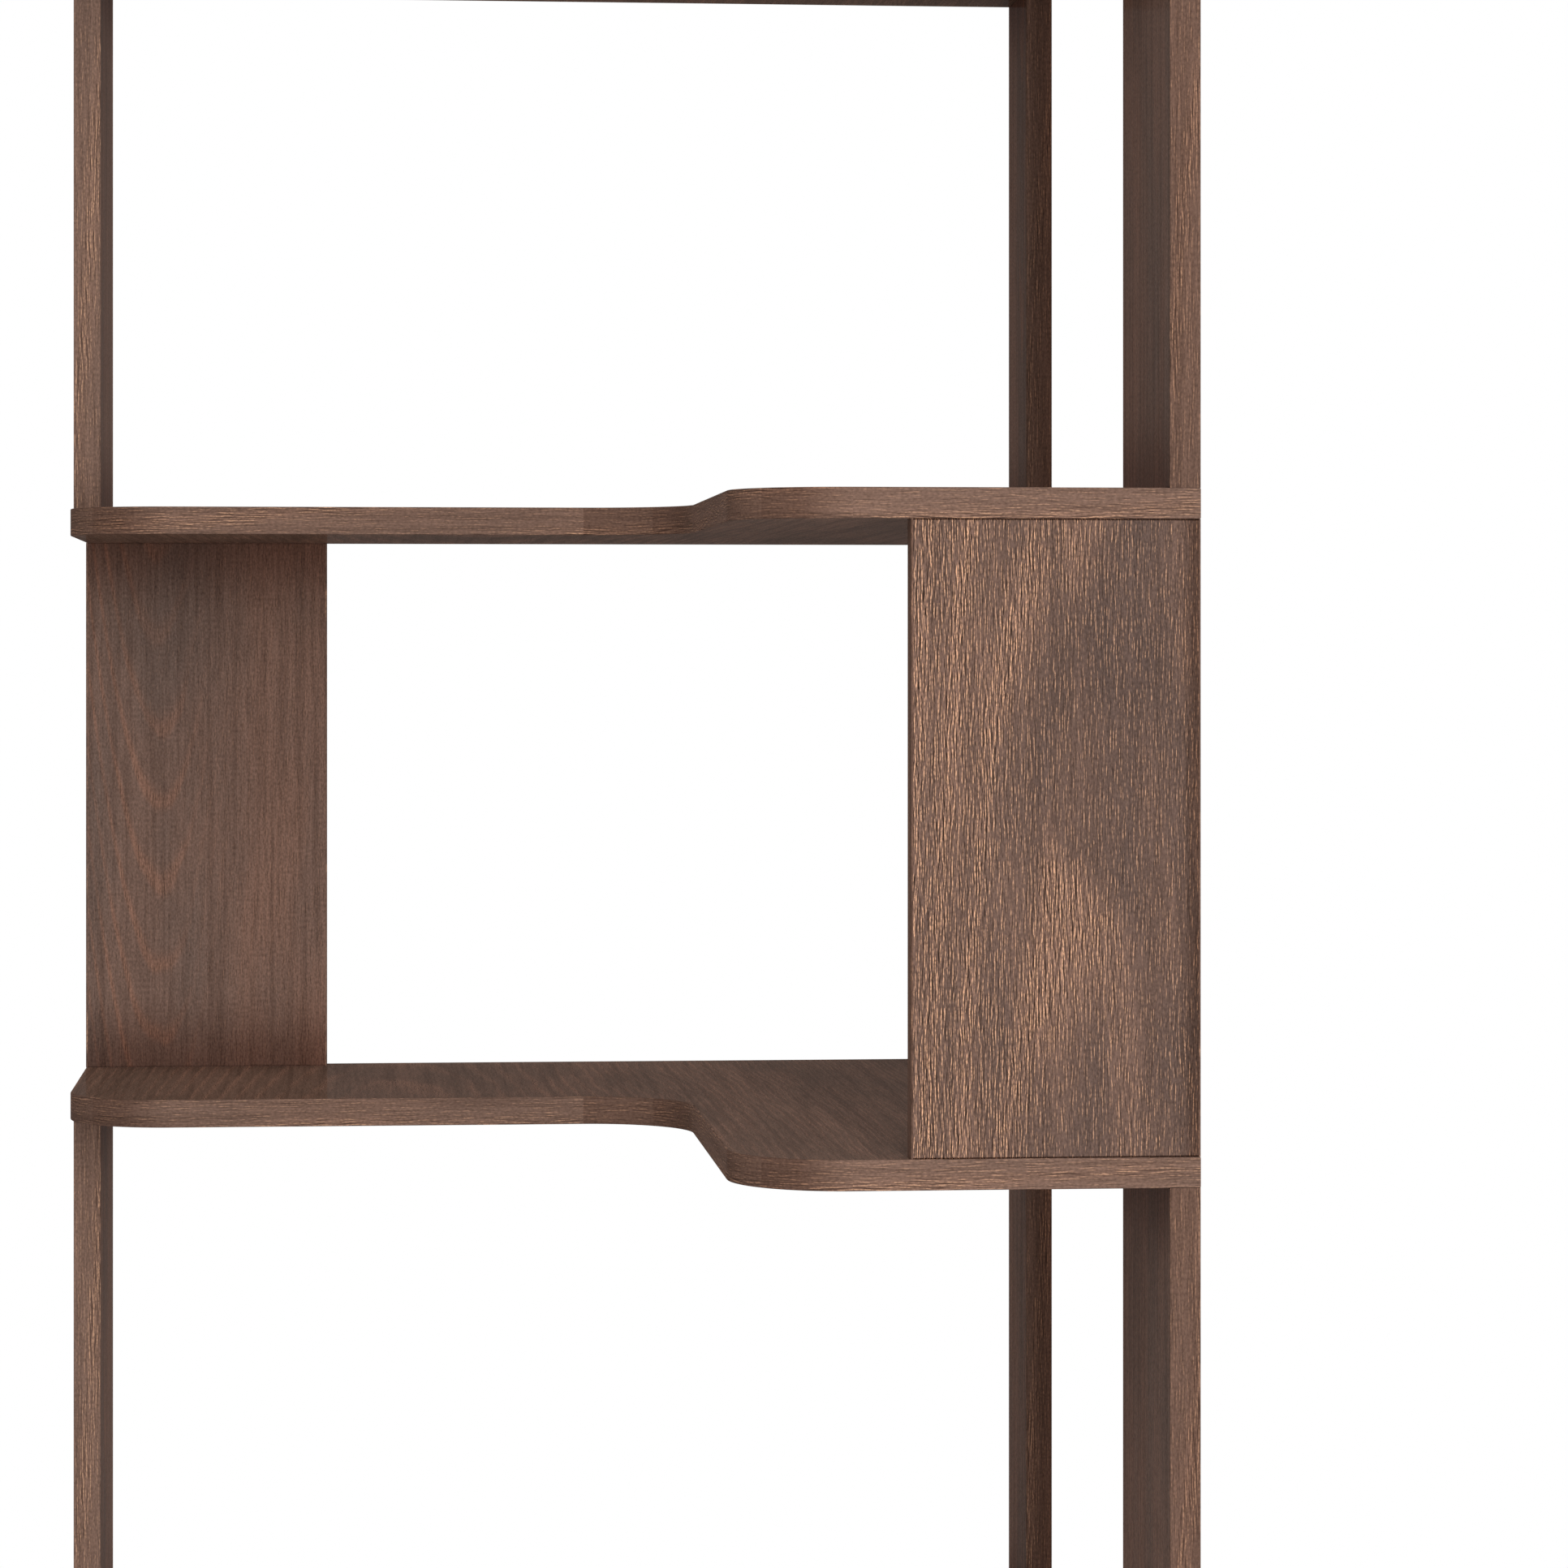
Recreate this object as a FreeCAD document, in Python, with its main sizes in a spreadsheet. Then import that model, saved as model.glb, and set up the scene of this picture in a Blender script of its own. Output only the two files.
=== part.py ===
import FreeCAD, Part
import math
import os
import re

import Sketcher

# Open corner bookcase: L-shaped shelves on narrow uprights that turn by a quarter turn from tier to tier.
# The frame stands on the floor, +Z up, with the origin under the middle of the square that the shelves fill.
# The back wall is at +Y, the right wall at +X, and the room corner where they meet is the plan's reference.
# Plan sizes run from the room corner, to the left along the back wall and to the front along the right wall.

# Driving sizes in millimetres
SIZES = {
    # shelves
    "wing_length": 600,
    "wing_depth": 240,
    "corner_radius": 60,
    "shelf_thickness": 16,
    # uprights
    "tier_height": 328,
    "board_width": 150,
    "corner_board_width": 80,
    "board_thickness": 16,
    # glued edge strips
    "band_thickness": 1,
    "arris_radius": 0.6,
    # cam joints: drum, bolt and where they sit in an upright's end
    "cam_diameter": 15,
    "cam_setback": 24,
    "cam_inset": 32,
    "corner_cam_inset": 22,
    "cam_below_bolt": 4.5,
    "cam_offset": 2.3,
    "drive_length": 9,
    "drive_width": 2,
    "drive_depth": 2.5,
    "thread_diameter": 6,
    "thread_length": 11,
    "shank_diameter": 7,
    "shank_length": 15,
    "neck_diameter": 4,
    "head_diameter": 6.6,
    "head_length": 3,
    # dowels
    "dowel_diameter": 8,
    "dowel_in_shelf": 11,
    "dowel_in_board": 18,
    "dowel_chamfer": 1,
    # glides under the bottom shelf
    "glide_diameter": 22,
    "glide_height": 4,
    "glide_chamfer": 1.5,
    "glide_inset": 30,
    "stem_diameter": 3,
    "stem_length": 9,
    # room round each fastener and past its end
    "fit_gap": 0.1,
    "end_gap": 0.5,
}

TIER_COUNT = 5
SHELF_COUNT = TIER_COUNT + 1

# Turn of a piece that is laid out from the room corner: its first axis points left, its second to the front
QUARTER_TURN = 90
HALF_TURN = 2 * QUARTER_TURN
CORNER_TURN = HALF_TURN

# Each upright's place in the plan: the corner that its own sizes start from, and its turn.
# Its first axis runs along its width and its second from the hidden face to the seen one.
# Even tiers, counted from 0, have the left and corner uprights flat on the back wall and the right one
# facing front. Odd tiers are the mirror image of that across the diagonal of the room corner.
FACING_FRONT = {
    "left_board": ("wing_length - board_width", "0", CORNER_TURN),
    "right_board": ("0", "wing_length - board_thickness", CORNER_TURN),
    "corner_board": ("0", "0", CORNER_TURN),
}
FACING_SIDE = {
    "left_board": ("wing_length", "0", CORNER_TURN + QUARTER_TURN),
    "right_board": ("0", "wing_length", CORNER_TURN - QUARTER_TURN),
    "corner_board": ("0", "corner_board_width", CORNER_TURN - QUARTER_TURN),
}
LAYOUTS = (FACING_FRONT, FACING_SIDE)

# Where along an upright's width its cam joints and its dowel are
WIDTHS = {
    "left_board": "board_width",
    "right_board": "board_width",
    "corner_board": "corner_board_width",
}
CAM_PLACES = {
    "board_width": ("cam_inset", "(board_width - cam_inset)"),
    "corner_board_width": ("corner_cam_inset",),
}
DOWEL_PLACES = {
    "board_width": ("(board_width / 2)",),
    "corner_board_width": ("(corner_board_width - corner_cam_inset)",),
}
MID_BOARD = "board_thickness / 2"

# Holes that the fasteners sit in
THREAD_HOLE = "thread_diameter + 2 * fit_gap"
SHANK_HOLE = "shank_diameter + 2 * fit_gap"
DOWEL_HOLE = "dowel_diameter + 2 * fit_gap"
STEM_HOLE = "stem_diameter + 2 * fit_gap"

# Six glides: one at each square corner, one at the middle of each rounded end, and one at the inner corner
GLIDE_PLACES = (
    ("glide_inset", "glide_inset"),
    ("wing_length - glide_inset", "glide_inset"),
    ("glide_inset", "wing_length - glide_inset"),
    ("wing_length - corner_radius", "wing_depth - corner_radius"),
    ("wing_depth - corner_radius", "wing_length - corner_radius"),
    ("wing_depth - glide_inset", "wing_depth - glide_inset"),
)

# Names for the points of a sketch element, which are counted from 1, and for the sketch's own axes
START, END, CENTRE = range(1, 4)
ALONG_X, ALONG_Y = range(-1, -3, -1)
ORIGIN = ALONG_X
X_AXIS, Y_AXIS, Z_AXIS = range(3)
SIDEWAYS = FreeCAD.Vector(1, 0, 0)
UPWARD = FreeCAD.Vector(0, 0, 1)

# Places closer than this are one place
SAME_PLACE = 1e-6

doc = FreeCAD.newDocument("corner_bookcase")
sheet = doc.addObject("Spreadsheet::Sheet", "Sizes")
for row, (alias, size) in enumerate(SIZES.items(), start=1):
    sheet.set(f"A{row}", alias)
    sheet.set(f"B{row}", str(size))
    sheet.setAlias(f"B{row}", alias)
doc.recompute()


def in_sheet(formula):
    """The formula with every size in it, but no function, pointing at its cell."""
    return re.sub(r"[a-z_]+\b(?!\()", lambda word: f"Sizes.{word.group()}", formula)


def amount(formula):
    """What a formula comes to at present."""
    return float(sheet.evalExpression(in_sheet(formula)))


def bind(item, setting, formula):
    """Tie one setting of an object to a formula of the sizes."""
    item.setExpression(setting, in_sheet(formula))


def place(item, x, y, z, turn=0):
    """Stand an object at three formulas, turned about the upright axis."""
    item.Placement = FreeCAD.Placement(FreeCAD.Vector(), FreeCAD.Rotation(UPWARD, turn))
    for axis, formula in zip("xyz", (x, y, z)):
        bind(item, f".Placement.Base.{axis}", formula)


def place_in_plan(item, left, front, z, turn=CORNER_TURN):
    """Stand an object at a place of the plan, which is measured from the room corner."""
    place(item, f"wing_length / 2 - ({left})", f"wing_length / 2 - ({front})", z, turn)


def shelf_level(number):
    """Height of a shelf's underside above the floor."""
    return f"glide_height + {number} * (shelf_thickness + tier_height)"


# Sketches


def new_sketch(body, name, plane="XY_Plane", level="0"):
    """A sketch on one of the body's own planes, moved along that plane's normal to a level."""
    sketch = body.newObject("Sketcher::SketchObject", name)
    support = next(face for face in body.Origin.OriginFeatures if face.Role == plane)
    sketch.AttachmentSupport = (support, [""])
    sketch.MapMode = "FlatFace"
    bind(sketch, ".AttachmentOffset.Base.z", level)
    return sketch


def point(x, y):
    return FreeCAD.Vector(amount(x), amount(y), 0)


def hold(sketch, kind, axis, element, part, formula):
    """Keep one coordinate of a sketch point at a formula."""
    if formula == "0":
        sketch.addConstraint(Sketcher.Constraint("PointOnObject", element, part, axis))
        return
    distance = Sketcher.Constraint(kind, ORIGIN, START, element, part, amount(formula))
    bind(sketch, f"Constraints[{sketch.addConstraint(distance)}]", formula)


def hold_x(sketch, element, part, formula):
    hold(sketch, "DistanceX", ALONG_Y, element, part, formula)


def hold_y(sketch, element, part, formula):
    hold(sketch, "DistanceY", ALONG_X, element, part, formula)


def pin(sketch, element, part, x, y):
    """Keep a sketch point at two formulas."""
    hold_x(sketch, element, part, x)
    hold_y(sketch, element, part, y)


def join(sketch, first, first_part, second, second_part):
    sketch.addConstraint(Sketcher.Constraint("Coincident", first, first_part, second, second_part))


def draw_line(sketch, begin, finish):
    return sketch.addGeometry(Part.LineSegment(point(*begin), point(*finish)))


def draw_polygon(sketch, corners):
    """A closed outline with straight sides and every corner held at its formulas."""
    ends = corners[1:] + corners[:1]
    sides = [draw_line(sketch, begin, finish) for begin, finish in zip(corners, ends)]
    for side, following, corner in zip(sides, sides[1:] + sides[:1], corners):
        pin(sketch, side, START, *corner)
        join(sketch, side, END, following, START)


def draw_rectangle(sketch, left, right, low, high):
    draw_polygon(sketch, [(left, low), (right, low), (right, high), (left, high)])


def draw_circles(sketch, places, diameter):
    """Circles of one diameter, with each centre held at its formulas."""
    for x, y in places:
        circle = sketch.addGeometry(Part.Circle(point(x, y), UPWARD, amount(diameter) / 2))
        pin(sketch, circle, CENTRE, x, y)
        size = sketch.addConstraint(Sketcher.Constraint("Diameter", circle, amount(diameter)))
        bind(sketch, f"Constraints[{size}]", diameter)


def draw_quarter(sketch, centre, radius, first_quarter):
    """A quarter circle, which starts after so many quarter turns."""
    begin = first_quarter * math.radians(QUARTER_TURN)
    circle = Part.Circle(point(*centre), UPWARD, amount(radius))
    arc = sketch.addGeometry(Part.ArcOfCircle(circle, begin, begin + math.radians(QUARTER_TURN)))
    size = sketch.addConstraint(Sketcher.Constraint("Radius", arc, amount(radius)))
    bind(sketch, f"Constraints[{size}]", radius)
    return arc


def draw_open_edge(sketch, inset):
    """The shelf's open edge, inset from its face: round both wing ends and the inner corner between them.

    It runs from the left end, a strip's thickness off the back wall, to the front end, as far off the
    right wall. Returns its first and its last line.
    """
    far, near = f"wing_length - {inset}", f"wing_depth - {inset}"
    far_bend, near_bend = "wing_length - corner_radius", "wing_depth - corner_radius"
    hollow = "wing_depth + corner_radius"
    outward, inward = f"corner_radius - {inset}", f"corner_radius + {inset}"
    left_end = draw_line(sketch, (far, "band_thickness"), (far, near_bend))
    left_bend = draw_quarter(sketch, (far_bend, near_bend), outward, 0)
    left_front = draw_line(sketch, (far_bend, near), (hollow, near))
    inner_bend = draw_quarter(sketch, (hollow, hollow), inward, 2)
    right_side = draw_line(sketch, (near, hollow), (near, far_bend))
    right_bend = draw_quarter(sketch, (near_bend, far_bend), outward, 0)
    front_end = draw_line(sketch, (near_bend, far), ("band_thickness", far))
    for first, first_part, second, second_part in (
        (left_end, END, left_bend, START),
        (left_bend, END, left_front, START),
        (left_front, END, inner_bend, END),
        (inner_bend, START, right_side, START),
        (right_side, END, right_bend, START),
        (right_bend, END, front_end, START),
    ):
        sketch.addConstraint(Sketcher.Constraint("Tangent", first, first_part, second, second_part))
    for line in (left_end, right_side):
        sketch.addConstraint(Sketcher.Constraint("Vertical", line))
    for line in (left_front, front_end):
        sketch.addConstraint(Sketcher.Constraint("Horizontal", line))
    pin(sketch, left_end, START, far, "band_thickness")
    hold_y(sketch, left_front, START, near)
    hold_x(sketch, right_side, START, near)
    pin(sketch, front_end, END, "band_thickness", far)
    return left_end, front_end


# Features


def new_body(label):
    return doc.addObject("PartDesign::Body", label)


def pad(body, sketch, length):
    feature = body.newObject("PartDesign::Pad", f"{sketch.Name}_pad")
    feature.Profile = sketch
    bind(feature, "Length", length)


def pocket(body, sketch, depth, along_normal=False):
    """A cut of the sketch's outline, against the sketch's normal unless told otherwise."""
    feature = body.newObject("PartDesign::Pocket", f"{sketch.Name}_pocket")
    feature.Profile = sketch
    feature.Reversed = along_normal
    bind(feature, "Length", depth)


def drill(body, name, places, diameter, depth, level="0", along_normal=False):
    """Blind round holes of one size, sunk from a flat face at a level."""
    sketch = new_sketch(body, name, level=level)
    draw_circles(sketch, places, diameter)
    pocket(body, sketch, depth, along_normal)


def lies_at(edge, axis, place):
    """Whether both ends of an edge are at one place on an axis."""
    return all(math.isclose(vertex.Point[axis], place, abs_tol=SAME_PLACE) for vertex in edge.Vertexes)


def round_arrises(body, is_arris):
    """Round the edges of a body that pass a test."""
    doc.recompute()
    blank = body.Tip
    edges = enumerate(blank.Shape.Edges, start=1)
    rounding = body.newObject("PartDesign::Fillet", f"{body.Name}_rounding")
    rounding.Base = (blank, [f"Edge{count}" for count, edge in edges if is_arris(edge)])
    bind(rounding, "Radius", "arris_radius")


def turned_body(label, half_profile):
    """A round piece: half of its section, turned about its own upright axis."""
    body = new_body(label)
    sketch = new_sketch(body, f"{label}_section", "XZ_Plane")
    draw_polygon(sketch, half_profile)
    turn = body.newObject("PartDesign::Revolution", f"{label}_turn")
    turn.Profile = sketch
    turn.ReferenceAxis = (sketch, ["V_Axis"])
    return body


# Groups of copies


def copy_of(master, name):
    """A copy of a master piece, which keeps the master's own place within the copy's."""
    copy = doc.addObject("App::Link", name)
    copy.LinkedObject = master
    copy.LinkTransform = True
    return copy


def group(label, members):
    compound = doc.addObject("Part::Compound", label)
    compound.Links = members
    return compound


def carried(label, masters):
    """One group with a copy of each master set at the place of the piece that carries it."""
    copies = []
    for carrier, master in masters:
        copy = copy_of(master, f"{label}_on_{carrier.Name}")
        copy.setExpression("Placement", f"{carrier.Name}.Placement")
        copies.append(copy)
    return group(label, copies)


# Shelves


def fastener_places(number, along):
    """Where a tier's fasteners meet the shelves, in plan, given their places along each upright's width."""
    places = []
    for side, (left, front, turn) in LAYOUTS[number % len(LAYOUTS)].items():
        for run in along[WIDTHS[side]]:
            if turn == CORNER_TURN:
                places.append((f"{left} + {run}", f"{front} + {MID_BOARD}"))
            elif turn > CORNER_TURN:
                places.append((f"{left} - {MID_BOARD}", f"{front} + {run}"))
            else:
                places.append((f"{left} + {MID_BOARD}", f"{front} - {run}"))
    return places


def drill_for_tier(body, name, number, level, along_normal):
    """The holes of one face of a shelf, for the bolts and dowels of the tier on that face."""
    bolts, dowels = fastener_places(number, CAM_PLACES), fastener_places(number, DOWEL_PLACES)
    drill(body, f"{name}_bolts", bolts, THREAD_HOLE, "thread_length + end_gap", level, along_normal)
    drill(body, f"{name}_dowels", dowels, DOWEL_HOLE, "dowel_in_shelf + end_gap", level, along_normal)


def make_shelf(number):
    """An L-shaped board, without its edge strips, drilled for the tiers below and above it."""
    label = f"shelf_{number + 1}"
    body = new_body(label)
    sketch = new_sketch(body, f"{label}_outline")
    left_end, front_end = draw_open_edge(sketch, "band_thickness")
    wall_edge = "band_thickness"
    right_wall = draw_line(sketch, (wall_edge, f"wing_length - {wall_edge}"), (wall_edge, wall_edge))
    back_wall = draw_line(sketch, (wall_edge, wall_edge), (f"wing_length - {wall_edge}", wall_edge))
    join(sketch, front_end, END, right_wall, START)
    join(sketch, right_wall, END, back_wall, START)
    join(sketch, back_wall, END, left_end, START)
    pin(sketch, back_wall, START, wall_edge, wall_edge)
    pad(body, sketch, "shelf_thickness")
    if number > 0:
        drill_for_tier(body, f"{label}_under", number - 1, "0", along_normal=True)
    if number < TIER_COUNT:
        drill_for_tier(body, f"{label}_top", number, "shelf_thickness", along_normal=False)
    if number == 0:
        drill(body, f"{label}_glides", GLIDE_PLACES, STEM_HOLE, "stem_length + end_gap", along_normal=True)
    place_in_plan(body, "0", "0", shelf_level(number))
    return body


def make_shelf_strips():
    """Edge strips of one shelf: one runs round the open edge, and two lie along the walls."""
    open_edge = new_body("open_edge_strip")
    sketch = new_sketch(open_edge, "open_edge_outline")
    outer_first, outer_last = draw_open_edge(sketch, "0")
    inner_first, inner_last = draw_open_edge(sketch, "band_thickness")
    outside, inside = "wing_length", "wing_length - band_thickness"
    left_cut = draw_line(sketch, (outside, "band_thickness"), (inside, "band_thickness"))
    front_cut = draw_line(sketch, ("band_thickness", outside), ("band_thickness", inside))
    join(sketch, left_cut, START, outer_first, START)
    join(sketch, left_cut, END, inner_first, START)
    join(sketch, front_cut, START, outer_last, END)
    join(sketch, front_cut, END, inner_last, END)
    pad(open_edge, sketch, "shelf_thickness")
    round_arrises(open_edge, is_on_open_edge)
    back = make_strip("back_edge_strip", "wing_length", "band_thickness", "shelf_thickness", Y_AXIS)
    right = make_strip("right_edge_strip", "band_thickness", inside, "shelf_thickness", X_AXIS)
    place(right, "0", "band_thickness", "0")
    return group("shelf_strips", [open_edge, back, right])


def is_on_open_edge(edge):
    """Whether an edge of the open edge's strip lies flat and on the side away from the core."""
    if isinstance(edge.Curve, Part.Circle):
        return math.isclose(edge.Curve.Radius, amount("corner_radius"))
    is_flat = lies_at(edge, Z_AXIS, edge.Vertexes[0].Z)
    outer_places = amount("wing_length"), amount("wing_depth")
    return is_flat and any(lies_at(edge, axis, place) for axis in (X_AXIS, Y_AXIS) for place in outer_places)


def make_strip(label, length, width, height, facing, outer="0"):
    """A straight strip with the long edges of its outer face rounded: the face at a place on one axis."""
    strip = new_body(label)
    outline = new_sketch(strip, f"{label}_outline")
    draw_rectangle(outline, "0", length, "0", width)
    pad(strip, outline, height)
    longest = max(amount(size) for size in (length, width, height))
    face = amount(outer)
    round_arrises(strip, lambda edge: math.isclose(edge.Length, longest) and lies_at(edge, facing, face))
    return strip


# Uprights


def make_board(label, number, side):
    """An upright without its edge strips: cam pockets in the hidden face, holes in both ends."""
    left, front, turn = LAYOUTS[number % len(LAYOUTS)][side]
    width = WIDTHS[side]
    body = new_body(label)
    section = new_sketch(body, f"{label}_section")
    draw_rectangle(section, "band_thickness", f"{width} - band_thickness", "0", "board_thickness")
    pad(body, section, "tier_height")
    cams = new_sketch(body, f"{label}_cams", "XZ_Plane")
    heights = ("cam_setback", "tier_height - cam_setback")
    draw_circles(cams, [(run, height) for run in CAM_PLACES[width] for height in heights], "cam_diameter")
    pocket(body, cams, f"{MID_BOARD} + cam_below_bolt")
    bolts = [(run, MID_BOARD) for run in CAM_PLACES[width]]
    dowels = [(run, MID_BOARD) for run in DOWEL_PLACES[width]]
    for end, level, inward in (("foot", "0", True), ("head", "tier_height", False)):
        drill(body, f"{label}_{end}_bolts", bolts, SHANK_HOLE, "cam_setback", level, inward)
        drill(body, f"{label}_{end}_dowels", dowels, DOWEL_HOLE, "dowel_in_board + end_gap", level, inward)
    place_in_plan(body, left, front, f"{shelf_level(number)} + shelf_thickness", turn)
    return body


def make_board_strips(width):
    """Edge strips on the two long edges of an upright."""
    box = ("band_thickness", "board_thickness", "tier_height")
    near = make_strip(f"{width}_near_strip", *box, X_AXIS)
    far = make_strip(f"{width}_far_strip", *box, X_AXIS, outer="band_thickness")
    place(far, f"{width} - band_thickness", "0", "0")
    return group(f"{width}_strips", [near, far])


# Fasteners


def make_cam_lock():
    """A drum with a cross slot in its face and an eccentric hollow, turned to where it holds the bolt.

    The bolt's head goes in at the mouth. Half a turn leads its neck along the slot in the drum's wall, while
    the hollow, which lies off the drum's axis, draws the head in behind the jaws on both sides of that slot.
    """
    body = new_body("cam_lock")
    rim = "cam_diameter / 2"
    neck_half, head_half = "(neck_diameter / 2 + fit_gap)", "(head_diameter / 2 + fit_gap)"
    neck_level, head_level = f"{MID_BOARD} - {neck_half}", f"{MID_BOARD} - {head_half}"
    drum = new_sketch(body, "drum_outline")
    draw_circles(drum, [("0", "0")], "cam_diameter - 2 * fit_gap")
    pad(body, drum, f"{MID_BOARD} + cam_below_bolt - fit_gap")
    cross = new_sketch(body, "drive_slot")
    long, short = "drive_length / 2", "drive_width / 2"
    draw_polygon(cross, [
        (short, short), (short, long), (f"-{short}", long), (f"-{short}", short),
        (f"-{long}", short), (f"-{long}", f"-{short}"), (f"-{short}", f"-{short}"), (f"-{short}", f"-{long}"),
        (short, f"-{long}"), (short, f"-{short}"), (long, f"-{short}"), (long, short),
    ])
    pocket(body, cross, "drive_depth", along_normal=True)
    slot = new_sketch(body, "neck_slot", level=neck_level)
    draw_rectangle(slot, f"-{neck_half}", rim, f"-{rim}", rim)
    pocket(body, slot, f"2 * {neck_half}", along_normal=True)
    hollow = new_sketch(body, "head_hollow", level=head_level)
    head_corner = "(head_length / 2 + fit_gap + cam_offset)"
    draw_circles(hollow, [("0", "cam_offset")], f"2 * sqrt({head_half} ^ 2 + {head_corner} ^ 2)")
    pocket(body, hollow, f"2 * {head_half}", along_normal=True)
    mouth = new_sketch(body, "head_mouth", level=head_level)
    draw_rectangle(mouth, f"-{head_half}", head_half, "0", rim)
    pocket(body, mouth, f"2 * {head_half}", along_normal=True)
    return body


def make_cam_bolt():
    """Thread below the shelf's face, shank in the upright's end, and a head on a neck at the drum's axis."""
    thread, shank = "thread_diameter / 2", "shank_diameter / 2"
    neck, head = "neck_diameter / 2", "head_diameter / 2"
    head_foot, head_top = "cam_setback - head_length / 2", "cam_setback + head_length / 2"
    return turned_body("cam_bolt", [
        ("0", "-thread_length"), (thread, "-thread_length"), (thread, "0"), (shank, "0"),
        (shank, "shank_length"), (neck, "shank_length"), (neck, head_foot), (head, head_foot),
        (head, head_top), ("0", head_top),
    ])


def make_dowel():
    """A round peg with chamfered ends, half in the shelf and half in the upright."""
    radius, tip = "dowel_diameter / 2", "dowel_diameter / 2 - dowel_chamfer"
    return turned_body("wooden_dowel", [
        ("0", "-dowel_in_shelf"), (tip, "-dowel_in_shelf"), (radius, "dowel_chamfer - dowel_in_shelf"),
        (radius, "dowel_in_board - dowel_chamfer"), (tip, "dowel_in_board"), ("0", "dowel_in_board"),
    ])


def make_glide():
    """A round foot with a chamfered lower edge and a stem that is driven into the shelf."""
    radius, foot, stem = "glide_diameter / 2", "glide_diameter / 2 - glide_chamfer", "stem_diameter / 2"
    return turned_body("glide", [
        ("0", "0"), (foot, "0"), (radius, "glide_chamfer"), (radius, "glide_height"),
        (stem, "glide_height"), (stem, "glide_height + stem_length"), ("0", "glide_height + stem_length"),
    ])


def both_ends(label, master, places):
    """Copies of a fastener in an upright's foot, and turned over in its head."""
    copies = []
    for count, run in enumerate(places):
        foot = copy_of(master, f"{label}_foot_{count}")
        place(foot, run, MID_BOARD, "0")
        head = copy_of(master, f"{label}_head_{count}")
        place(head, run, MID_BOARD, "tier_height")
        head.Placement = FreeCAD.Placement(head.Placement.Base, FreeCAD.Rotation(SIDEWAYS, HALF_TURN))
        copies += [foot, head]
    return group(label, copies)


def cams_in_board(label, master, places):
    """Copies of the drum in an upright's hidden face, each with its way in towards the nearer end."""
    ends = (("foot", "cam_setback", 0), ("head", "tier_height - cam_setback", HALF_TURN))
    lay_down = FreeCAD.Rotation(SIDEWAYS, -QUARTER_TURN)
    copies = []
    for count, run in enumerate(places):
        for end, height, turn in ends:
            drum = copy_of(master, f"{label}_{end}_{count}")
            place(drum, run, "0", height)
            drum.Placement = FreeCAD.Placement(drum.Placement.Base, lay_down * FreeCAD.Rotation(UPWARD, turn))
            copies.append(drum)
    return group(label, copies)


# Assembly

shelves = [make_shelf(number) for number in range(SHELF_COUNT)]
shelf_strips = make_shelf_strips()
nodes = list(shelves)
nodes += [carried(f"{shelf.Name}_edge_bands", [(shelf, shelf_strips)]) for shelf in shelves]

board_strips = {width: make_board_strips(width) for width in CAM_PLACES}
uprights = []
for tier in range(TIER_COUNT):
    boards = [(make_board(f"tier_{tier + 1}_{side}", tier, side), WIDTHS[side]) for side in WIDTHS]
    strips = [(board, board_strips[width]) for board, width in boards]
    nodes += [board for board, width in boards]
    nodes.append(carried(f"tier_{tier + 1}_board_bands", strips))
    uprights += boards

cam_lock, cam_bolt, dowel, glide = make_cam_lock(), make_cam_bolt(), make_dowel(), make_glide()
cam_sets = {width: cams_in_board(f"{width}_cams", cam_lock, runs) for width, runs in CAM_PLACES.items()}
bolt_sets = {width: both_ends(f"{width}_bolts", cam_bolt, runs) for width, runs in CAM_PLACES.items()}
dowel_sets = {width: both_ends(f"{width}_dowels", dowel, runs) for width, runs in DOWEL_PLACES.items()}
for label, sets in (("cam_locks", cam_sets), ("cam_bolts", bolt_sets), ("wooden_dowels", dowel_sets)):
    nodes.append(carried(label, [(board, sets[width]) for board, width in uprights]))

glides = []
for count, (left, front) in enumerate(GLIDE_PLACES):
    foot = copy_of(glide, f"glide_{count}")
    place_in_plan(foot, left, front, "0")
    glides.append(foot)
nodes.append(group("glides", glides))

doc.recompute()

for item in doc.Objects:
    if "Invalid" in item.State or "Error" in item.State:
        raise RuntimeError(f"{item.Name} failed: {item.State}")
    if item.isDerivedFrom("PartDesign::Pocket") and item.Shape.Volume >= item.BaseFeature.Shape.Volume:
        raise RuntimeError(f"{item.Name} cuts nothing")
for node in nodes:
    if node.Shape.isNull() or not node.Shape.isValid():
        raise RuntimeError(f"{node.Label} has no valid shape")

os.makedirs("parts", exist_ok=True)
for node in nodes:
    node.Shape.exportStep(f"parts/{node.Label}.step")
    print(f"{node.Label}: {len(node.Shape.Solids)} solids, {node.Shape.Volume / 1000:.1f} cm3")
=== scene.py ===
"""Open corner bookcase in dark walnut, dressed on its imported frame.

Lengths are in metres. The walls stand at the high sides of x and y, and the bookcase opens to the left
and to the front.
"""
import logging
import math
from collections.abc import Callable, Iterator, Sequence
from contextlib import contextmanager
from dataclasses import dataclass, field, replace
from enum import Enum
from itertools import accumulate
from typing import ClassVar

import bmesh
import bpy
from mathutils import Matrix, Vector


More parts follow.
